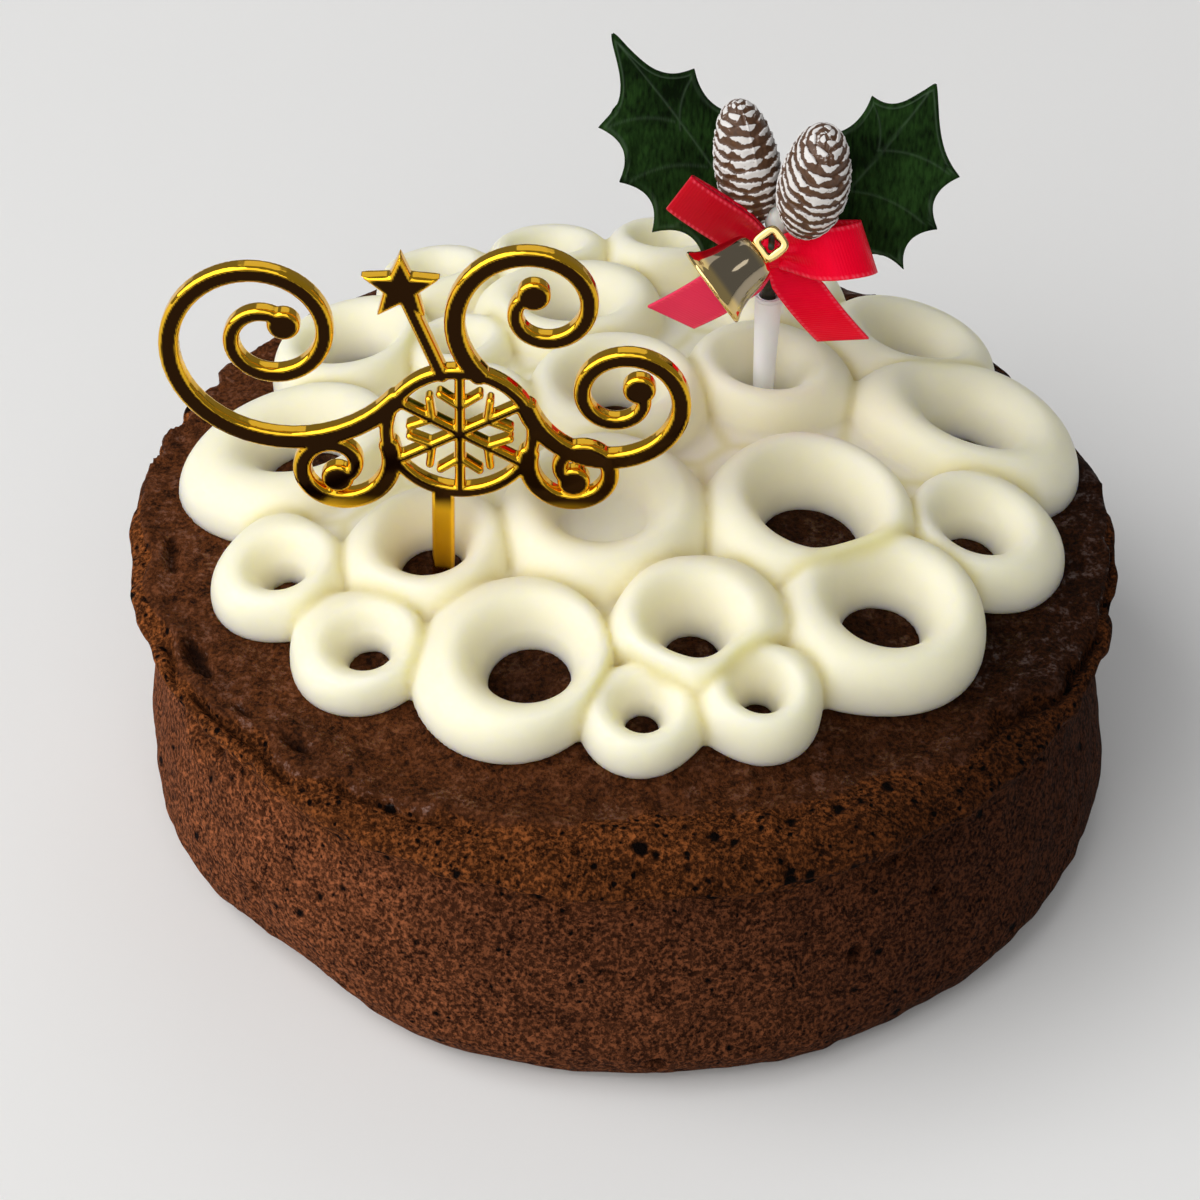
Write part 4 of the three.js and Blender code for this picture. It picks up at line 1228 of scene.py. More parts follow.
    def swell(self, ring: Ring, mates: list, angle: Array) -> Array:
        """How much wider a ring is in each direction, so that it presses on its neighbours: for each of them
        the room left plus the press, weighted by the sixth power of the cosine of the angle between.

        Args:
            ring: the ring.
            mates: the rings that it touches.
            angle: directions from its middle.

        Returns:
            The change of the outer radius.
        """
        total, weight = np.zeros(angle.shape), np.zeros(angle.shape)
        for mate in mates:
            facing = np.maximum(0, np.cos(angle - np.arctan2(mate.y - ring.y, mate.x - ring.x))) ** 6
            total += facing * np.clip(self.room(ring, mate) + self.press, -6, 3)
            weight += facing
        return total / np.maximum(1, weight)

    @staticmethod
    def reach_towards(ring: Ring, mate: Ring) -> float:
        """Outer radius of a ring in the direction of another, with its stretch."""
        turn = np.arctan2(mate.y - ring.y, mate.x - ring.x) - np.radians(ring.turn)
        return ring.outer / np.hypot(np.cos(turn) / ring.stretch, np.sin(turn))

    @staticmethod
    def rounded(a: Array, b: Array, radius: float) -> Array:
        """What is inside both fields, its edge rounded by r:
        min(-r, max(a, b)) + |(max(a + r, 0), max(b + r, 0))|."""
        edge = np.hypot(np.maximum(a + radius, 0), np.maximum(b + radius, 0))
        return np.minimum(-radius, np.maximum(a, b)) + edge

    @staticmethod
    def merged(a: Array, b: Array, width: float) -> Array:
        """What is inside either field, its crease filled: min(a, b) - (max(w - |a - b|, 0))^2 / 4w."""
        return np.minimum(a, b) - np.maximum(width - np.abs(a - b), 0) ** 2 / (4 * width)

    def build(self, finish: CreamFinish) -> bpy.types.Object:
        """Meshes the field's zero level and lays it on the dome: a place (x, y, h) goes to the dome's point
        over (x, y) plus h along the dome's normal there, which is set more upright to the sides.

        Args:
            finish: the cream's finish.

        Returns:
            The cream.
        """
        level, crease = self.field()
        low = np.array(self.low, float)
        flat, quads = surface_net(level, low, np.full(3, self.step))
        # crease mark: where the creases take painted shade
        mark = between(crease, (flat - low) / self.step)
        x, y, h = flat.T
        back, radius = self.sponge.dome_back, self.sponge.dome_radius
        normal = unit(np.stack([self.lean * x / radius, (y - back) / radius, np.ones_like(x)], axis=-1))
        points = np.stack([x, y, self.sponge.dome(x, y)], axis=-1) + normal * h[:, None]
        shell = Shell()
        shell.add(points, quads, crease=mark)
        return shell.piece("cream", "cream_rings", Slot.CREAM, finish.material())


# Gold topper


@dataclass
class Topper:
    """Upright plate of gold scrollwork: a ring with a snowflake, five scrolls, a star and a stick."""

    at: tuple = (-25.8, -19.2, 64)
    thick: float = 2.4
    depth: float = 28
    stick: float = 3.2
    stick_top: float = 2.6
    # x, z and radius of the ring
    ring: tuple = (2.4, 12.3, 10.2)
    wide: float = 3
    fine: float = 2
    bead: float = 2.3
    chamfer: float = 0.42
    # middle x, middle z, start angle on the ring, sweep, end radius
    scrolls: tuple = ((-24, 27.5, 150, -650, 3.2), (24.5, 19, 25, 560, 3), (13.5, 33, 75, -480, 2.8),
                      (-15, 6, 195, -470, 2.2), (19, 6.5, -20, 450, 2.2))
    # half widths of the snowflake's arms and twigs; radius and turn of a twig's tip, radius of its foot
    arm_half: float = 0.75
    twig_half: float = 0.6
    twig: tuple = (7, 0.4, 4.4)
    # the star's middle, its outer and inner radius, and its stem's foot from the top of the ring
    star_at: tuple = (-5.5, 36.2)
    star: tuple = (5.6, 2.5)
    stem: tuple = (-2.4, -0.6)
    # grid spacing, and the corners of the box that holds the plate
    step: tuple = (0.23, 0.24, 0.23)
    low: tuple = (-46, -1.8, -29)
    high: tuple = (40, 1.9, 46)

    def lines(self) -> list[tuple[Array, Array]]:
        """Middle lines of all strokes with their half widths. A scroll is a spiral that starts on the ring: its
        distance from its middle shrinks by equal ratios as it sweeps, and a bead ends it.

        Returns:
            For each stroke its points and its half width at each.
        """
        x, z, radius = self.ring
        turn = np.linspace(0, 2 * np.pi, 73)
        circle = np.stack([x + radius * np.cos(turn), z + radius * np.sin(turn)], axis=-1)
        made = [(circle, 0 * turn + self.fine / 2)]
        for sx, sz, start, sweep, end in self.scrolls:
            foot = np.radians(start)
            arm = np.array([x + radius * np.cos(foot) - sx, z + radius * np.sin(foot) - sz])
            t = np.linspace(0, 1, int(abs(sweep) / 7))
            r = np.hypot(*arm) * (end / np.hypot(*arm)) ** t
            a = np.arctan2(arm[1], arm[0]) + np.radians(sweep) * t
            line = np.stack([sx + r * np.cos(a), sz + r * np.sin(a)], axis=-1)
            made.append((line, (self.wide + (self.fine - self.wide) * t) / 2))
            made.append((line[-1:] + np.array([[0, 0], [1e-3, 0]]), np.full(2, self.bead)))
        tip, off, foot = self.twig
        for a in np.radians(90 + 60 * np.arange(6)):
            spots = ((0, 0), (radius, 0), (foot, 0), (tip, off), (tip, -off))
            middle, rim, fork, left, right = (np.array([x + r * np.cos(a + turn), z + r * np.sin(a + turn)])
                                              for r, turn in spots)
            made.append((np.array([middle, rim]), np.full(2, self.arm_half)))
            made.append((np.array([left, fork]), np.full(2, self.twig_half)))
            made.append((np.array([right, fork]), np.full(2, self.twig_half)))
        stem = np.array([[x + self.stem[0], z + radius + self.stem[1]], list(self.star_at)])
        made.append((stem, np.full(2, self.fine / 2)))
        return made

    def outline(self, x: Array, z: Array) -> Array:
        """Distance to the drawing: for a stroke, the distance to its line less its half width there; for the
        stick a box; for the star, the distance past the nearest of its folded edges.

        Args:
            x: places across.
            z: places up.

        Returns:
            The distance, negative inside.
        """
        nearest = np.full(x.shape, 9.0)
        for line, half in self.lines():
            pad = half.max() + 2
            sx = slice(*np.searchsorted(x[:, 0], (line[:, 0].min() - pad, line[:, 0].max() + pad)))
            sz = slice(*np.searchsorted(z[0], (line[:, 1].min() - pad, line[:, 1].max() + pad)))
            px, pz = x[sx, sz][..., None], z[sx, sz][..., None]
            p0, p1 = line[:-1], line[1:]
            run = p1 - p0
            t = ((px - p0[:, 0]) * run[:, 0] + (pz - p0[:, 1]) * run[:, 1]) / (run**2).sum(axis=1)
            t = np.clip(t, 0, 1)
            away = np.hypot(px - p0[:, 0] - t * run[:, 0], pz - p0[:, 1] - t * run[:, 1])
            away = (away - half[:-1] - t * (half[1:] - half[:-1])).min(axis=-1)
            nearest[sx, sz] = np.minimum(nearest[sx, sz], away)
        box = np.maximum(np.abs(x) - self.stick / 2, np.maximum(z - self.stick_top, -self.depth - z))
        nearest = np.minimum(nearest, box)
        a = np.arctan2(z - self.star_at[1], x - self.star_at[0]) - np.pi / 2
        r = np.hypot(x - self.star_at[0], z - self.star_at[1])
        fold = np.abs((a + np.pi / 5) % (2 * np.pi / 5) - np.pi / 5)
        outer, inner = self.star
        tip = np.array([outer, 0.0])
        notch = inner * np.array([np.cos(np.pi / 5), np.sin(np.pi / 5)])
        side = unit(np.array([tip[1] - notch[1], notch[0] - tip[0]])) * -1
        star = (r * np.cos(fold) - tip[0]) * side[0] + (r * np.sin(fold) - tip[1]) * side[1]
        return np.minimum(nearest, star)

    def build(self, finish: PlatingFinish) -> bpy.types.Object:
        """Draws the outline out to the plate's thickness with chamfered edges: the largest of the outline's
        distance, the distance past the faces, and their sum plus the chamfer over the square root of two.

        Args:
            finish: the plating.

        Returns:
            The topper.
        """
        low, step = np.array(self.low, float), np.array(self.step)
        x, y, z = (np.arange(self.low[k], self.high[k], self.step[k]) for k in range(3))
        drawing = self.outline(*np.meshgrid(x, z, indexing="ij"))
        drawn = drawing[:, None, :]
        past = (np.abs(y) - self.thick / 2)[None, :, None]
        level = np.maximum(np.maximum(drawn, past), (drawn + past + self.chamfer) * np.sqrt(0.5))
        points, quads = surface_net(level, low, step)
        inset = -between(drawing, ((points - low) / step)[:, [0, 2]])
        # face mark: the broad faces take the painted dark reflection, less on the stick below the ring
        face = ease(self.chamfer - 0.06, self.chamfer + 0.1, inset)
        face = face * (np.abs(points[:, 1]) > self.thick / 4) * (1 - 0.8 * ease(1.5, -1.5, points[:, 2]))
        shell = Shell()
        shell.add(points + np.array(self.at), quads, face=face)
        return shell.piece("topper", "gold_topper", Slot.GOLD, finish.material())


# Holly pick


def slab(grid: Array, half: Array | float) -> tuple[Array, Array]:
    """Closed thin solid about a grid: each point moved both ways along the grid's normal, and a rim between.

    Args:
        grid: rows by columns of points on the middle surface.
        half: half the thickness, one number or one for each point.

    Returns:
        Points, front side first, and quads.
    """
    rows, columns = grid.shape[:2]
    total = rows * columns
    push = grid_normals(grid, closed=False) * np.broadcast_to(half, (rows, columns))[..., None]
    points = np.concatenate([(grid + push).reshape(-1, 3), (grid - push).reshape(-1, 3)])
    index = np.arange(total).reshape(rows, columns)
    ring = np.concatenate([index[0, :-1], index[:-1, -1], index[-1, :0:-1], index[:0:-1, 0]])
    ahead = np.roll(ring, -1)
    rim = np.stack([ahead, ring, ring + total, ahead + total], axis=-1)
    back = grid_faces(rows, columns, total)[:, ::-1]
    return points, np.concatenate([grid_faces(rows, columns), back, rim])


def upright(axis: Array) -> Array:
    """Three unit directions as columns, the third along the axis and the second towards the back."""
    up = unit(axis)
    back = unit(np.array([0.0, 1.0, 0.0]) - up * up[1])
    return np.stack([np.cross(back, up), back, up], axis=-1)


def turned(profile: Array, columns: int, at: Array, frame_axes: Array) -> Array:
    """Profile of radius and height carried round an axis.

    Args:
        profile: radius and height of each row.
        columns: points in a row.
        at: the place of height zero.
        frame_axes: directions as columns, the third along the axis.

    Returns:
        Grid of points.
    """
    a = np.linspace(0, 2 * np.pi, columns, endpoint=False)
    r, z = profile[:, 0][:, None], profile[:, 1][:, None]
    local = np.stack([r * np.cos(a), r * np.sin(a), z + 0 * a], axis=-1)
    return local @ frame_axes.T + np.asarray(at)


def tube(path: Array, radius: Array, columns: int) -> Array:
    """Round section carried along a path, at right angles to it.

    Args:
        path: points of the path.
        radius: radius at each point.
        columns: points in a section.

    Returns:
        Grid of points.
    """
    along = unit(np.gradient(path, axis=0))
    side = unit(np.cross(along, np.array([0.2, 0.4, 0.1])))
    third = np.cross(along, side)
    a = np.linspace(0, 2 * np.pi, columns, endpoint=False)
    ring = side[:, None] * np.cos(a)[:, None] + third[:, None] * np.sin(a)[:, None]
    return path[:, None] + ring * np.asarray(radius)[:, None, None]


@dataclass
class Leaf:
    """Holly leaf: spines joined by hollow scallops, embossed veins and a pressed border."""

    node: str
    base: tuple
    tip: tuple
    lower: tuple
    upper: tuple
    # depths of the scallops as shares of their chords
    lower_end: float = 0.26
    scallop: float = 0.26
    thick: float = 0.8
    # y and z of a place on the leaf's plane, and how far it leans back
    plane_at: tuple = (22.5, 79)
    lean: float = 0.3
    steps: int = 180
    half_columns: int = 30
    vein_wide: float = 0.17
    vein_bow: float = 0.09
    # how far down the midrib a vein leaves it, and how much of its way to the spine it goes
    vein_back: float = 0.16
    vein_reach: float = 0.86
    border_at: float = 0.5
    border_wide: float = 0.13

    def edge(self, spines: tuple, inward: float, end: float) -> Array:
        """Edge from the base to the tip: each chord between spines plus a parabola 4t(1 - t) inward,
        and for the last chord 3.9t(1 - t)^1.6, which leaves the tip slender but full.

        Args:
            spines: x and z of each spine, with its scallop's depth where that is its own.
            inward: which side of the chord is the leaf's inside.
            end: depth of the last scallop.

        Returns:
            Points of the edge.
        """
        marks = [self.base, *spines, (*self.tip, end)]
        each = self.steps // (len(marks) - 1)
        t = (np.arange(each) + 1)[:, None] / each
        parts = [np.array([self.base], float)]
        for start, stop in zip(marks[:-1], marks[1:]):
            depth = stop[2] if len(stop) > 2 else self.scallop
            chord = np.array(stop[:2]) - np.array(start[:2])
            side = np.array([-chord[1], chord[0]]) * depth * inward
            skew = 3.9 * t * (1 - t) ** 1.6 if stop is marks[-1] else 4 * t * (1 - t)
            parts.append(np.array(start[:2]) + chord * t + side * skew)
        return np.concatenate(parts)

    @staticmethod
    def away(flat: Array, start: Array, stop: Array, bow: float) -> Array:
        """Distance of places from the line between two points, bowed sideways by 4t(1 - t) of a share of its
        length."""
        run = stop - start
        t = np.clip(((flat - start) @ run) / (run @ run), 0, 1)[..., None]
        side = np.array([-run[1], run[0]]) * bow
        return np.linalg.norm(flat - start - t * run - 4 * t * (1 - t) * side, axis=-1)

    def build(self, finish: bpy.types.Material) -> bpy.types.Object:
        """Rows run from one edge over the midrib to the other edge, on a leaning plane that waves by
        0.5 v^2 sin(7u); veins and border stand up by bell curves of their distance.

        Args:
            finish: the leaf's material.

        Returns:
            The leaf.
        """
        rightward = 1.0 if self.tip[0] > self.base[0] else -1.0
        edge_a = self.edge(self.lower, rightward, self.lower_end)
        edge_b = self.edge(self.upper, -rightward, self.scallop)
        base, tip = np.array(self.base, float), np.array(self.tip, float)
        midrib = tip - base
        u = np.linspace(0.02, 0.99, self.steps + 1)[:, None, None]
        rib = base + midrib * u
        v = np.linspace(0, 1, self.half_columns + 1)[None, :, None] ** 0.8
        side_a = edge_a[:, None] + (rib - edge_a[:, None]) * v
        side_b = edge_b[:, None] + (rib - edge_b[:, None]) * v
        flat = np.concatenate([side_a, side_b[:, -2::-1]], axis=1)
        spread = np.concatenate([1 - v, 1 - v[:, -2::-1]], axis=1)[..., 0]
        rim = np.concatenate([edge_a, edge_b[::-1]])
        inset = np.min(np.linalg.norm(flat[..., None, :] - rim[None, None], axis=-1), axis=-1)
        vein = np.exp(-(self.away(flat, base, base + midrib * 0.95, -0.02) / self.vein_wide) ** 2)
        bows = [rightward * self.vein_bow] * len(self.lower) + [-rightward * self.vein_bow] * len(self.upper)
        for spine, bow in zip((*self.lower, *self.upper), bows):
            point = np.array(spine[:2])
            share = ((point - base) @ midrib) / (midrib @ midrib) - self.vein_back
            start = base + midrib * np.clip(share, 0.05, 0.85)
            stop = start + (point - start) * self.vein_reach
            vein = np.maximum(vein, 0.8 * np.exp(-(self.away(flat, start, stop, bow) / self.vein_wide) ** 2))
        border = np.exp(-((inset - self.border_at) / self.border_wide) ** 2)
        wave = 0.5 * spread**2 * np.sin(7 * u[..., 0])
        back = self.plane_at[0] + self.lean * (flat[..., 1] - self.plane_at[1])
        grid = np.stack([flat[..., 0], back + wave, flat[..., 1]], axis=-1)
        pile = 0.05 * ripple(grid.reshape(-1, 3), 1.6, 71).reshape(vein.shape)
        half = self.thick * (0.28 + 0.1 * ease(0, 0.7, inset)) + 0.2 * vein + 0.14 * border + pile
        points, quads = slab(grid, half)
        mark = np.clip(0.16 * vein + 0.2 * border, 0, 1).ravel()
        shell = Shell()
        shell.add(points, quads, vein=np.concatenate([mark, mark]))
        return shell.piece(self.node.replace("leaf", "holly_leaf"), self.node, Slot.LEAF, finish)


@dataclass
class Cone:
    """Small cone whose overlapping scales run round it in a spiral: its middle, its axis, its radius and half
    length, the angle of its mould seam, its noise, and how far its pole nods to the front."""

    node: str
    at: tuple
    axis: tuple
    radius: float
    half: float
    seam: float
    seed: int
    nod: float
    scale_rows: float = 15
    scales: float = 5.5
    relief: float = 0.5
    rows: int = 170
    columns: int = 190
    pole: float = 0.04

    def build(self, finish: bpy.types.Material) -> bpy.types.Object:
        """An egg form, radius sine of the polar angle, raised by scales about a pole that nods to the front:
        in the cell at share f up its row and c across, a scale rises to its free edge at f = 0.86 - 0.9 c^2
        and drops behind it. White paint lies below that edge in a lens that thins out towards the sides.

        Args:
            finish: the cone's material.

        Returns:
            The cone.
        """
        polar, a, ball = ball_grid(self.rows, self.columns, self.pole)
        z, r = -np.cos(polar), np.sin(polar)
        frame_axes = upright(np.array(self.axis))
        about = upright(unit(self.axis) - np.array([0, self.nod, 0])).T @ frame_axes
        spot = ball @ about.T
        height = np.arccos(np.clip(-spot[..., 2], -1, 1))
        round_turn = np.arctan2(spot[..., 1], spot[..., 0]) / (2 * np.pi)
        core = (spot * np.array([9, 9, 12])).reshape(-1, 3)
        rough, rough_fine = (ripple(core, size, self.seed + k).reshape(self.rows, self.columns)
                             for k, size in enumerate((2.2, 0.8)))
        level = self.scale_rows * (height / np.pi - 0.04 * np.sin(2 * height)) + 2 * round_turn + 0.22 * rough
        row = np.floor(level)
        f = level - row
        place = self.scales * round_turn + 0.5 * row + 0.2 * np.sin(3.7 * row)
        c = place % 1 - 0.5
        own = 0.5 + 0.5 * np.sin(12.9 * row + 7.3 * np.floor(place))
        edge = 0.86 - 0.9 * c**2 + 0.08 * rough
        scale = (0.25 + 0.75 * (f / edge) ** 1.4) * (1 - ease(0, 0.14, f - edge))
        scale = scale * (1 - 0.6 * ease(0.34, 0.5, np.abs(c))) + 0.06 * rough_fine
        from_seam = (a - self.seam + np.pi) % (2 * np.pi) - np.pi
        line = np.exp(-(from_seam / 0.035) ** 2) * ease(-0.2, 0.3, z)
        fade = np.sqrt(np.clip(r, 0, 1))
        flare = 1 - 0.1 * z * (1 - z**2)
        lift = self.relief * (scale - 0.55) * fade + 0.18 * line
        out = self.radius * r * flare + lift * r
        up = self.half * z + lift * z * 0.6 + 0 * a
        local = np.stack([out * np.cos(a), out * np.sin(a), up], axis=-1)
        points = local @ frame_axes.T + np.array(self.at)
        under = f - 0.3 - 0.1 * own - (1 + 1.3 * own) * c**2 + 0.1 * rough + 0.12 * rough_fine
        lens = ease(-0.06, 0.06, under) * (1 - ease(0.02, 0.12, f - edge))
        paint = np.clip(0.2 + 0.5 * lens + 0.2 * line + 0.15 * ease(0.6, 1, spot[..., 2]), 0, 1)
        shell = Shell()
        shell.add_round(points, paint=paint)
        return shell.piece(self.node.replace("cone", "pine_cone"), self.node, Slot.CONE, finish)


@dataclass
class Bow:
    """Satin ribbon bow: two loops, two tails and a small knot."""

    knot: tuple = (20.3, 17.5, 83)
    knot_radii: tuple = (2.8, 1.5, 3)
    wide: float = 8
    thick: float = 0.45
    # far end, width direction, front bulge, back bulge, share of painted shade
    loops: tuple = (((6.1, 17.6, 92.7), (0.425, -0.25, 0.87), 0.8, 0.5, 0.8),
                    ((34, 16.6, 85), (-0.35, 0.38, 0.86), 4.4, 1.6, 0.0))
    # the two corners of each cut end, share of pale painted sheen
    tails: tuple = (((2.2, 17.5, 72.4), (9.2, 17.5, 68.8), 0.7),
                    ((35, 16.5, 68.6), (27.4, 16.5, 67.9), 0.0))
    stitch: float = 0.8
    loop_rows: int = 121
    tail_rows: int = 61
    columns: int = 33

    def marks(self, run: Array, w: Array, dim: float = 0, pale: float = 0) -> dict[str, Array]:
        """Length along the ribbon, the stitched selvage, and the strip's painted shade and painted sheen, for
        both sides of a strip.

        Args:
            run: length along the ribbon in millimetres.
            w: share across it, from -1 to 1.
            dim: share of the painted shade colour.
            pale: share of the pale colour, a painted sheen.

        Returns:
            The four marks.
        """
        run, w = np.broadcast_arrays(run, w)
        dots = 0.5 + 0.5 * np.sin(2 * np.pi * run / self.stitch)
        selvage = ease(0.84, 0.9, np.abs(w)) * (1 - ease(0.93, 0.98, np.abs(w)))
        edge = selvage * (0.1 + 0.7 * ease(0.4, 0.9, dots))
        painted_shade_and_sheen = {"dim": np.full(2 * run.size, dim), "pale": np.full(2 * run.size, pale)}
        return {"along": np.tile(run.ravel(), 2), "edge": np.tile(edge.ravel(), 2), **painted_shade_and_sheen}

    def add_loop(self, shell: Shell, end: tuple, wide: tuple, front: float, back: float, dim: float) -> None:
        """A drop-shaped line drawn out along the ribbon's width: at turn a it lies (1 - cos a)/2 of the way
        to the far end and bulges by sin a, less near the knot, where the width is gathered.

        Args:
            shell: the bow.
            end: the loop's far end.
            wide: direction of the ribbon's width.
            front: bulge of the front.
            back: bulge of the back.
            dim: share of the painted shade colour.
        """
        across = unit(wide)
        reach = np.array(end) - np.array(self.knot)
        length = np.linalg.norm(reach)
        reach = reach / length
        out = unit(np.cross(reach, across))
        out = -out if out[1] > 0 else out
        a = np.linspace(0.02, 2 * np.pi - 0.02, self.loop_rows)[:, None]
        w = np.linspace(-1, 1, self.columns)[None, :]
        inset = self.thick / 2
        s = (length / 2 - inset) * (1 - np.cos(a)) + inset
        swell = 0.45 + 0.55 * np.minimum(1, s / (0.6 * length))
        bulge = (np.where(np.sin(a) > 0, front, back) - inset) * np.sin(a) * swell
        gather = 0.62 + 0.38 * ease(0, 0.45 * length, s)
        fold = 0.45 * np.cos(7 * w) * (1 - ease(0, 0.6 * length, s))
        grid = (np.array(self.knot) + reach * s[..., None] + out * (bulge + fold)[..., None]
                + across * (self.wide / 2 * w * gather)[..., None])
        lengths = np.linalg.norm(np.diff(grid[:, self.columns // 2], axis=0), axis=1)
        run = np.concatenate([[0], np.cumsum(lengths)])[:, None]
        points, quads = slab(grid, self.thick / 2)
        shell.add(points, quads, **self.marks(run, w, dim=dim))

    def add_tail(self, shell: Shell, corner_a: tuple, corner_b: tuple, pale: float) -> None:
        """A strip from the knot to a slanted cut, gathered at the knot and bowed forward by a half sine.

        Args:
            shell: the bow.
            corner_a: one corner of the cut end.
            corner_b: the other corner.
            pale: share of the pale colour, a painted sheen.
        """
        first, second = np.array(corner_a), np.array(corner_b)
        reach = (first + second) / 2 - np.array(self.knot)
        side = (first - second) * np.array([1, 0, 1])
        t = np.linspace(0, 1, self.tail_rows)[:, None]
        w = np.linspace(-1, 1, self.columns)[None, :]
        half = np.minimum(1, 0.45 + 1.6 * t) / 2
        fold = 0.3 * np.cos(6 * w) * (1 - ease(0, 0.45, t))
        forward = 0.4 - 1.4 * np.sin(np.pi * t) + fold + 0.25 * w * np.sin(np.pi * t)
        grid = (np.array(self.knot) + reach * t[..., None] + side * (half * w)[..., None]
                + np.array([0, 1, 0]) * forward[..., None])
        points, quads = slab(grid, self.thick / 2)
        shell.add(points, quads, **self.marks(t * np.linalg.norm(reach), w, pale=pale))

    def build(self, finish: SatinFinish) -> bpy.types.Object:
        """Loops, tails and a knot, which is an ellipsoid with folds of seven waves round it.

        Args:
            finish: the ribbon's finish.

        Returns:
            The bow.
        """
        shell = Shell()
        for loop in self.loops:
            self.add_loop(shell, *loop)
        for tail in self.tails:
            self.add_tail(shell, *tail)
        polar, a, ball = ball_grid(40, 72, 0.06)
        fold = 1 + 0.05 * np.sin(7 * polar + 0.6)
        knot = np.array(self.knot) + ball * fold[..., None] * np.array(self.knot_radii)
        plain = np.zeros(())
        shell.add_round(knot, along=polar * 3 + 0 * a, edge=plain, dim=plain, pale=plain)
        return shell.piece("satin_bow", "ribbon_bow", Slot.SATIN, finish.material())


@dataclass
class Bell:
    """Small hollow bell with a square hanger."""

    crown: tuple = (17.9, 10.6, 87.4)
    axis: tuple = (0.785, 0.33, 0.52)
    facing: tuple = (0, -0.766, 0.643)
    hanger: float = 4.6
    hole: float = 1.9
    hanger_thick: float = 2.4
    # radius and height below the crown, over the outside, round the lip and back up the inside
    profile: tuple = ((0.05, 0.2), (1.4, 0.16), (2.7, -0.1), (3.45, -0.7), (3.85, -1.8), (4.15, -3.2),
                      (4.5, -4.8), (4.95, -6.2), (5.5, -7.3), (6, -7.9), (6.2, -8.3), (6.05, -8.65),
                      (5.65, -8.7), (5.25, -8.3), (4.75, -7.2), (4.2, -6), (3.75, -4.6), (3.4, -3.2),
                      (2.9, -1.9), (1.2, -1.65), (0.05, -1.65))
    rows: int = 110
    columns: int = 120

    def build(self, finish: PlatingFinish) -> bpy.types.Object:
        """The profile carried round the axis, and a rounded square ring over the crown, of radius
        m / (|cos|^5 + |sin|^5)^(1/5), with a section of the same kind.

        Args:
            finish: the plating.

        Returns:
            The bell.
        """
        up = unit(self.axis)
        face = unit(np.array(self.facing) - up * (np.array(self.facing) @ up))
        axes = np.stack([-np.cross(up, face), -face, up], axis=-1)
        control = np.array(self.profile)
        stops = np.linspace(0, len(control) - 1, self.rows)
        rows = turned(through(control, stops), self.columns, self.crown, axes)
        shell = Shell()
        # face mark: painted darker reflection on the body and painted shade inside; shoulder, lip and hanger
        # keep the gold
        body = ease(2.4, 3.6, stops) * (1 - ease(7.2, 8, stops)) + ease(13, 15, stops)
        shell.add_round(rows, face=body[:, None])
        p = np.linspace(0, 2 * np.pi, 81)[:, None]
        q = np.linspace(0, 2 * np.pi, 32, endpoint=False)[None, :]
        path = 1 / (np.abs(np.cos(p)) ** 5 + np.abs(np.sin(p)) ** 5) ** 0.2
        section = 1 / (np.abs(np.cos(q)) ** 4 + np.abs(np.sin(q)) ** 4) ** 0.25
        middle, half = (self.hanger + self.hole) / 4, (self.hanger - self.hole) / 4
        r = middle * path + half * section * np.cos(q)
        local = np.stack([r * np.cos(p), self.hanger_thick / 2 * section * np.sin(q) + 0 * p,
                          self.hanger / 2 - 0.3 + r * np.sin(p)], axis=-1)
        ring = local[:-1] @ axes.T + np.array(self.crown)
        count, columns = ring.shape[:2]
        quads = grid_faces(count + 1, columns, closed=True) % (count * columns)
        shell.add(ring, quads, face=np.zeros(()))
        return shell.piece("gold_bell", "bell", Slot.BELL, finish.material())


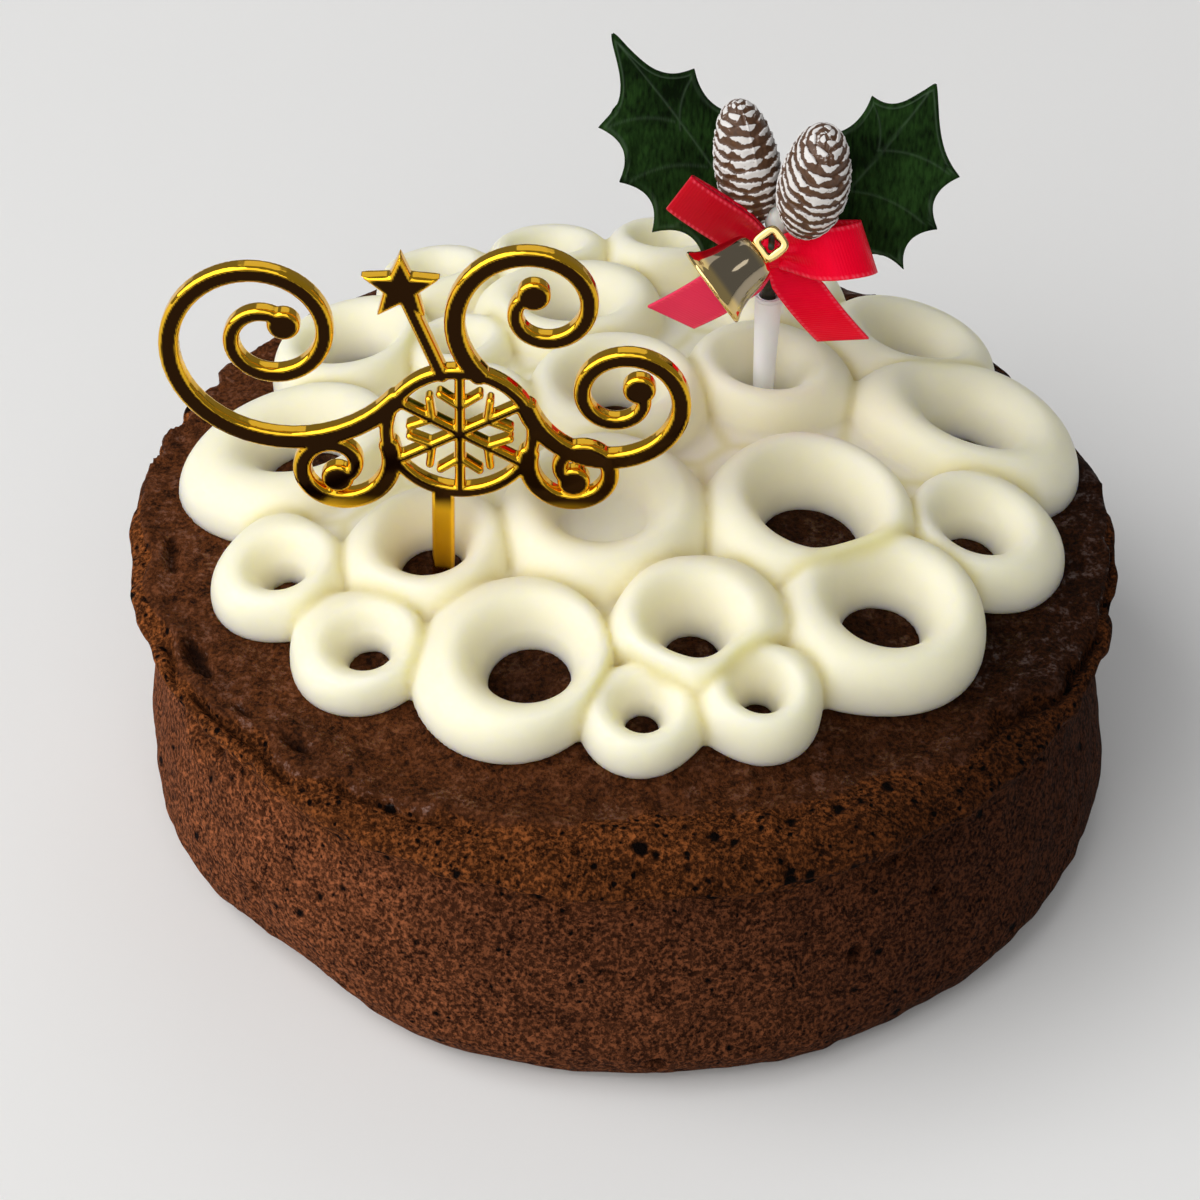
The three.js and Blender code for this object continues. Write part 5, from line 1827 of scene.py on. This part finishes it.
@dataclass
class Pick:
    """The pick's white stick, wrapped wire and glue dab."""

    at: tuple = (20, 20.5)
    foot: float = 36
    top: float = 73.2
    bore: float = 1.4
    wire: float = 1.1
    wire_foot: float = 67.5
    wire_top: float = 86.2
    twig: float = 0.5
    twig_end: tuple = (19.5, 9.9, 88.8)
    glue_at: tuple = (20.8, 18.6, 88)
    glue_radii: tuple = (2.2, 2.3, 2.5)
    glue_grid: tuple = (48, 72)

    def build_stick(self, finish: MouldedFinish) -> bpy.types.Object:
        """A slender taper, rounded at its rim, with a bore for the wire, carried round an upright axis."""
        rise = self.top - self.foot
        outside = [(0.05, 0), (0.6, 0), (0.7, 0.5), (1.05, 2.4), (1.5, rise * 0.5), (2.0, rise - 1.2)]
        rim = [(2.04, rise - 0.4), (1.9, rise), (1.55, rise)]
        inside = [(self.bore, rise - 0.4), (self.bore, rise - 5.8), (0.05, rise - 6)]
        profile = np.array(outside + rim + inside)
        steps = through(profile, np.linspace(0, len(profile) - 1, 90))
        shell = Shell()
        shell.add_round(turned(steps, 48, (*self.at, self.foot), np.eye(3)))
        return shell.piece("white_stick", "pick_stick", Slot.STICK, finish.material())

    def build_wire(self, finish: MouldedFinish) -> bpy.types.Object:
        """Two round rods: the wrapped wire, its radius waving by its windings, and the thin twig to the
        bell."""
        shell = Shell()
        z = np.linspace(self.wire_foot, self.wire_top, 120)
        path = np.stack([self.at[0] + 0 * z, self.at[1] + 0 * z, z], axis=-1)
        radius = self.wire * (0.93 + 0.05 * np.sin(2 * np.pi * z / 1.1))
        shell.add_round(tube(path, radius, 32))
        t = np.linspace(0, 1, 40)[:, None]
        start = np.array([*self.at, self.wire_top - 0.6])
        bend = start + (np.array(self.twig_end) - start) * t
        shell.add_round(tube(bend, np.full(40, self.twig * 0.95), 20))
        return shell.piece("wrapped_wire", "stem_wire", Slot.WIRE, finish.material())

    def build_glue(self, finish: MouldedFinish) -> bpy.types.Object:
        """An ellipsoid moved in and out by noise."""
        _, _, ball = ball_grid(*self.glue_grid, 0.05)
        swell = 0.97 + 0.1 * ripple(ball.reshape(-1, 3) * 3, 2.2, 91).reshape(*self.glue_grid, 1)
        shell = Shell()
        shell.add_round(np.array(self.glue_at) + ball * swell * np.array(self.glue_radii))
        return shell.piece("glue", "glue_dab", Slot.GLUE, finish.material())


# Stage


@dataclass
class Studio:
    """Camera at the photograph's angle, soft lights and a pale floor, in millimetres and degrees."""

    elevation: float = 40
    distance: float = 560
    focal_px: float = 3680
    frame_px: float = 1200
    roll: float = 1.8
    target: tuple = (0, 0, 22)
    target_px: tuple = (622, 646)
    sensor: float = 36
    floor_radius: float = 3000
    floor_drop: float = 0.3
    # name, place, size and power of each light
    lights: tuple = (("key", (-1720, -800, 1500), 2900, 64.0), ("fill", (-120, -1720, 1240), 1800, 13.0),
                     ("back", (120, 1520, 1720), 1400, 3.5))
    world: str = "#8f9092"
    world_strength: float = 0.75

    def build(self) -> None:
        """Makes the camera, the lights, the world and the floor."""
        self.build_camera()
        self.build_lights()
        self.build_floor()

    def build_camera(self) -> None:
        """Pinhole on the front side; aimed so that the target falls on its own pixel with no lens shift."""
        tilt, roll = np.radians(self.elevation), np.radians(self.roll)
        ahead = np.array([0, np.cos(tilt), -np.sin(tilt)])
        right, up = np.array([1.0, 0, 0]), np.array([0, np.sin(tilt), np.cos(tilt)])
        place = np.array(self.target) - ahead * self.distance
        right, up = right * np.cos(roll) + up * np.sin(roll), up * np.cos(roll) - right * np.sin(roll)
        off = (np.array(self.target_px) - self.frame_px / 2) / self.focal_px
        ahead = unit(ahead - right * off[0] + up * off[1])
        right = unit(right - ahead * (right @ ahead))
        up = np.cross(right, ahead)
        camera = bpy.data.cameras.new("camera")
        camera.lens = self.focal_px / self.frame_px * self.sensor
        camera.sensor_width = self.sensor
        camera.clip_start = 0.01
        item = bpy.data.objects.new("camera", camera)
        bpy.context.collection.objects.link(item)
        matrix = np.eye(4)
        matrix[:3, :3] = np.stack([right, up, -ahead], axis=-1)
        matrix[:3, 3] = place * MM
        item.matrix_world = Matrix(matrix.tolist())
        bpy.context.scene.camera = item

    def build_lights(self) -> None:
        """Square soft boxes aimed at the cake, and an even grey world."""
        for name, place, size, power in self.lights:
            light = bpy.data.lights.new(name, "AREA")
            light.size = size * MM
            light.energy = power
            item = bpy.data.objects.new(name, light)
            bpy.context.collection.objects.link(item)
            back = unit(np.array(place) - np.array(self.target))
            side = unit(np.cross(np.array([0, 0, 1.0]), back))
            matrix = np.eye(4)
            matrix[:3, :3] = np.stack([side, np.cross(back, side), back], axis=-1)
            matrix[:3, 3] = np.array(place) * MM
            item.matrix_world = Matrix(matrix.tolist())
        scene = bpy.context.scene
        scene.world = bpy.data.worlds.new("studio")
        scene.world.use_nodes = True
        sky = scene.world.node_tree.nodes["Background"]
        sky.inputs["Color"].default_value = linear(self.world)
        sky.inputs["Strength"].default_value = self.world_strength
        scene.view_settings.view_transform = "Standard"

    def build_floor(self) -> None:
        """A flat disc just under the cake's base."""
        a = np.linspace(0, 2 * np.pi, 96, endpoint=False)
        radius = self.floor_radius
        ring = np.stack([radius * np.cos(a), radius * np.sin(a), 0 * a - self.floor_drop], axis=-1) * MM
        mesh = bpy.data.meshes.new("floor")
        mesh.from_pydata(ring.tolist(), [], [list(range(len(a)))])
        mesh.materials.append(FloorFinish().material())
        item = bpy.data.objects.new("floor", mesh)
        bpy.context.collection.objects.link(item)


def main() -> None:
    """Builds the stage and each piece in order."""
    logging.basicConfig(level=logging.INFO, format="%(message)s")
    Studio().build()
    sponge = Sponge()
    sponge.build(SpongeFinish())
    Cream(sponge).build(CreamFinish())
    Topper().build(PlatingFinish())
    pick = Pick()
    pick.build_stick(MouldedFinish("white_moulded_plastic", "#ffffff", "#f8f8fc", streak_mm=2.0, rough=0.35,
                                   clear=0.15))
    pick.build_wire(MouldedFinish("paper_wrapped_wire", "#30361f", "#15180d", streak_mm=0.8, rough=0.6))
    pick.build_glue(MouldedFinish("set_hot_glue", "#dcdcd8", "#c4c4be", streak_mm=1.5, rough=0.25,
                                  clear=0.3))
    velvet = LeafFinish().material()
    Leaf("leaf_left", (18.8, 80.6), (-4.1, 109.9), ((10.5, 76.9), (2.5, 81.8), (-2.5, 89.2), (-5.8, 96.9)),
         ((16.5, 99), (7.8, 105.7, 0.2))).build(velvet)
    Leaf("leaf_right", (22.2, 79.3), (42.7, 104.2), ((31, 76.9), (39.7, 77.5), (44.2, 83.8), (47, 91.4)),
         ((24.5, 96.5), (33.6, 102.6, 0.2)), lower_end=0.12).build(velvet)
    bark = ConeFinish().material()
    Cone("cone_left", (15.8, 21.6, 95.5), (-0.2, 0.22, 0.955), radius=4.7, half=9.6, seam=-1.2, seed=5,
         nod=0.12).build(bark)
    Cone("cone_right", (25.4, 16.8, 95.7), (0.16, 0.22, 0.96), radius=5, half=8.8, seam=-0.2, seed=9,
         nod=0.4).build(bark)
    Bow().build(SatinFinish())
    # the bell's grey face colour is a painted darker reflection
    Bell().build(PlatingFinish("pale_gold_plating", "#a89a82", "#e8ca86", rough=0.05, wave_mm=6))


if __name__ == "__main__":
    main()
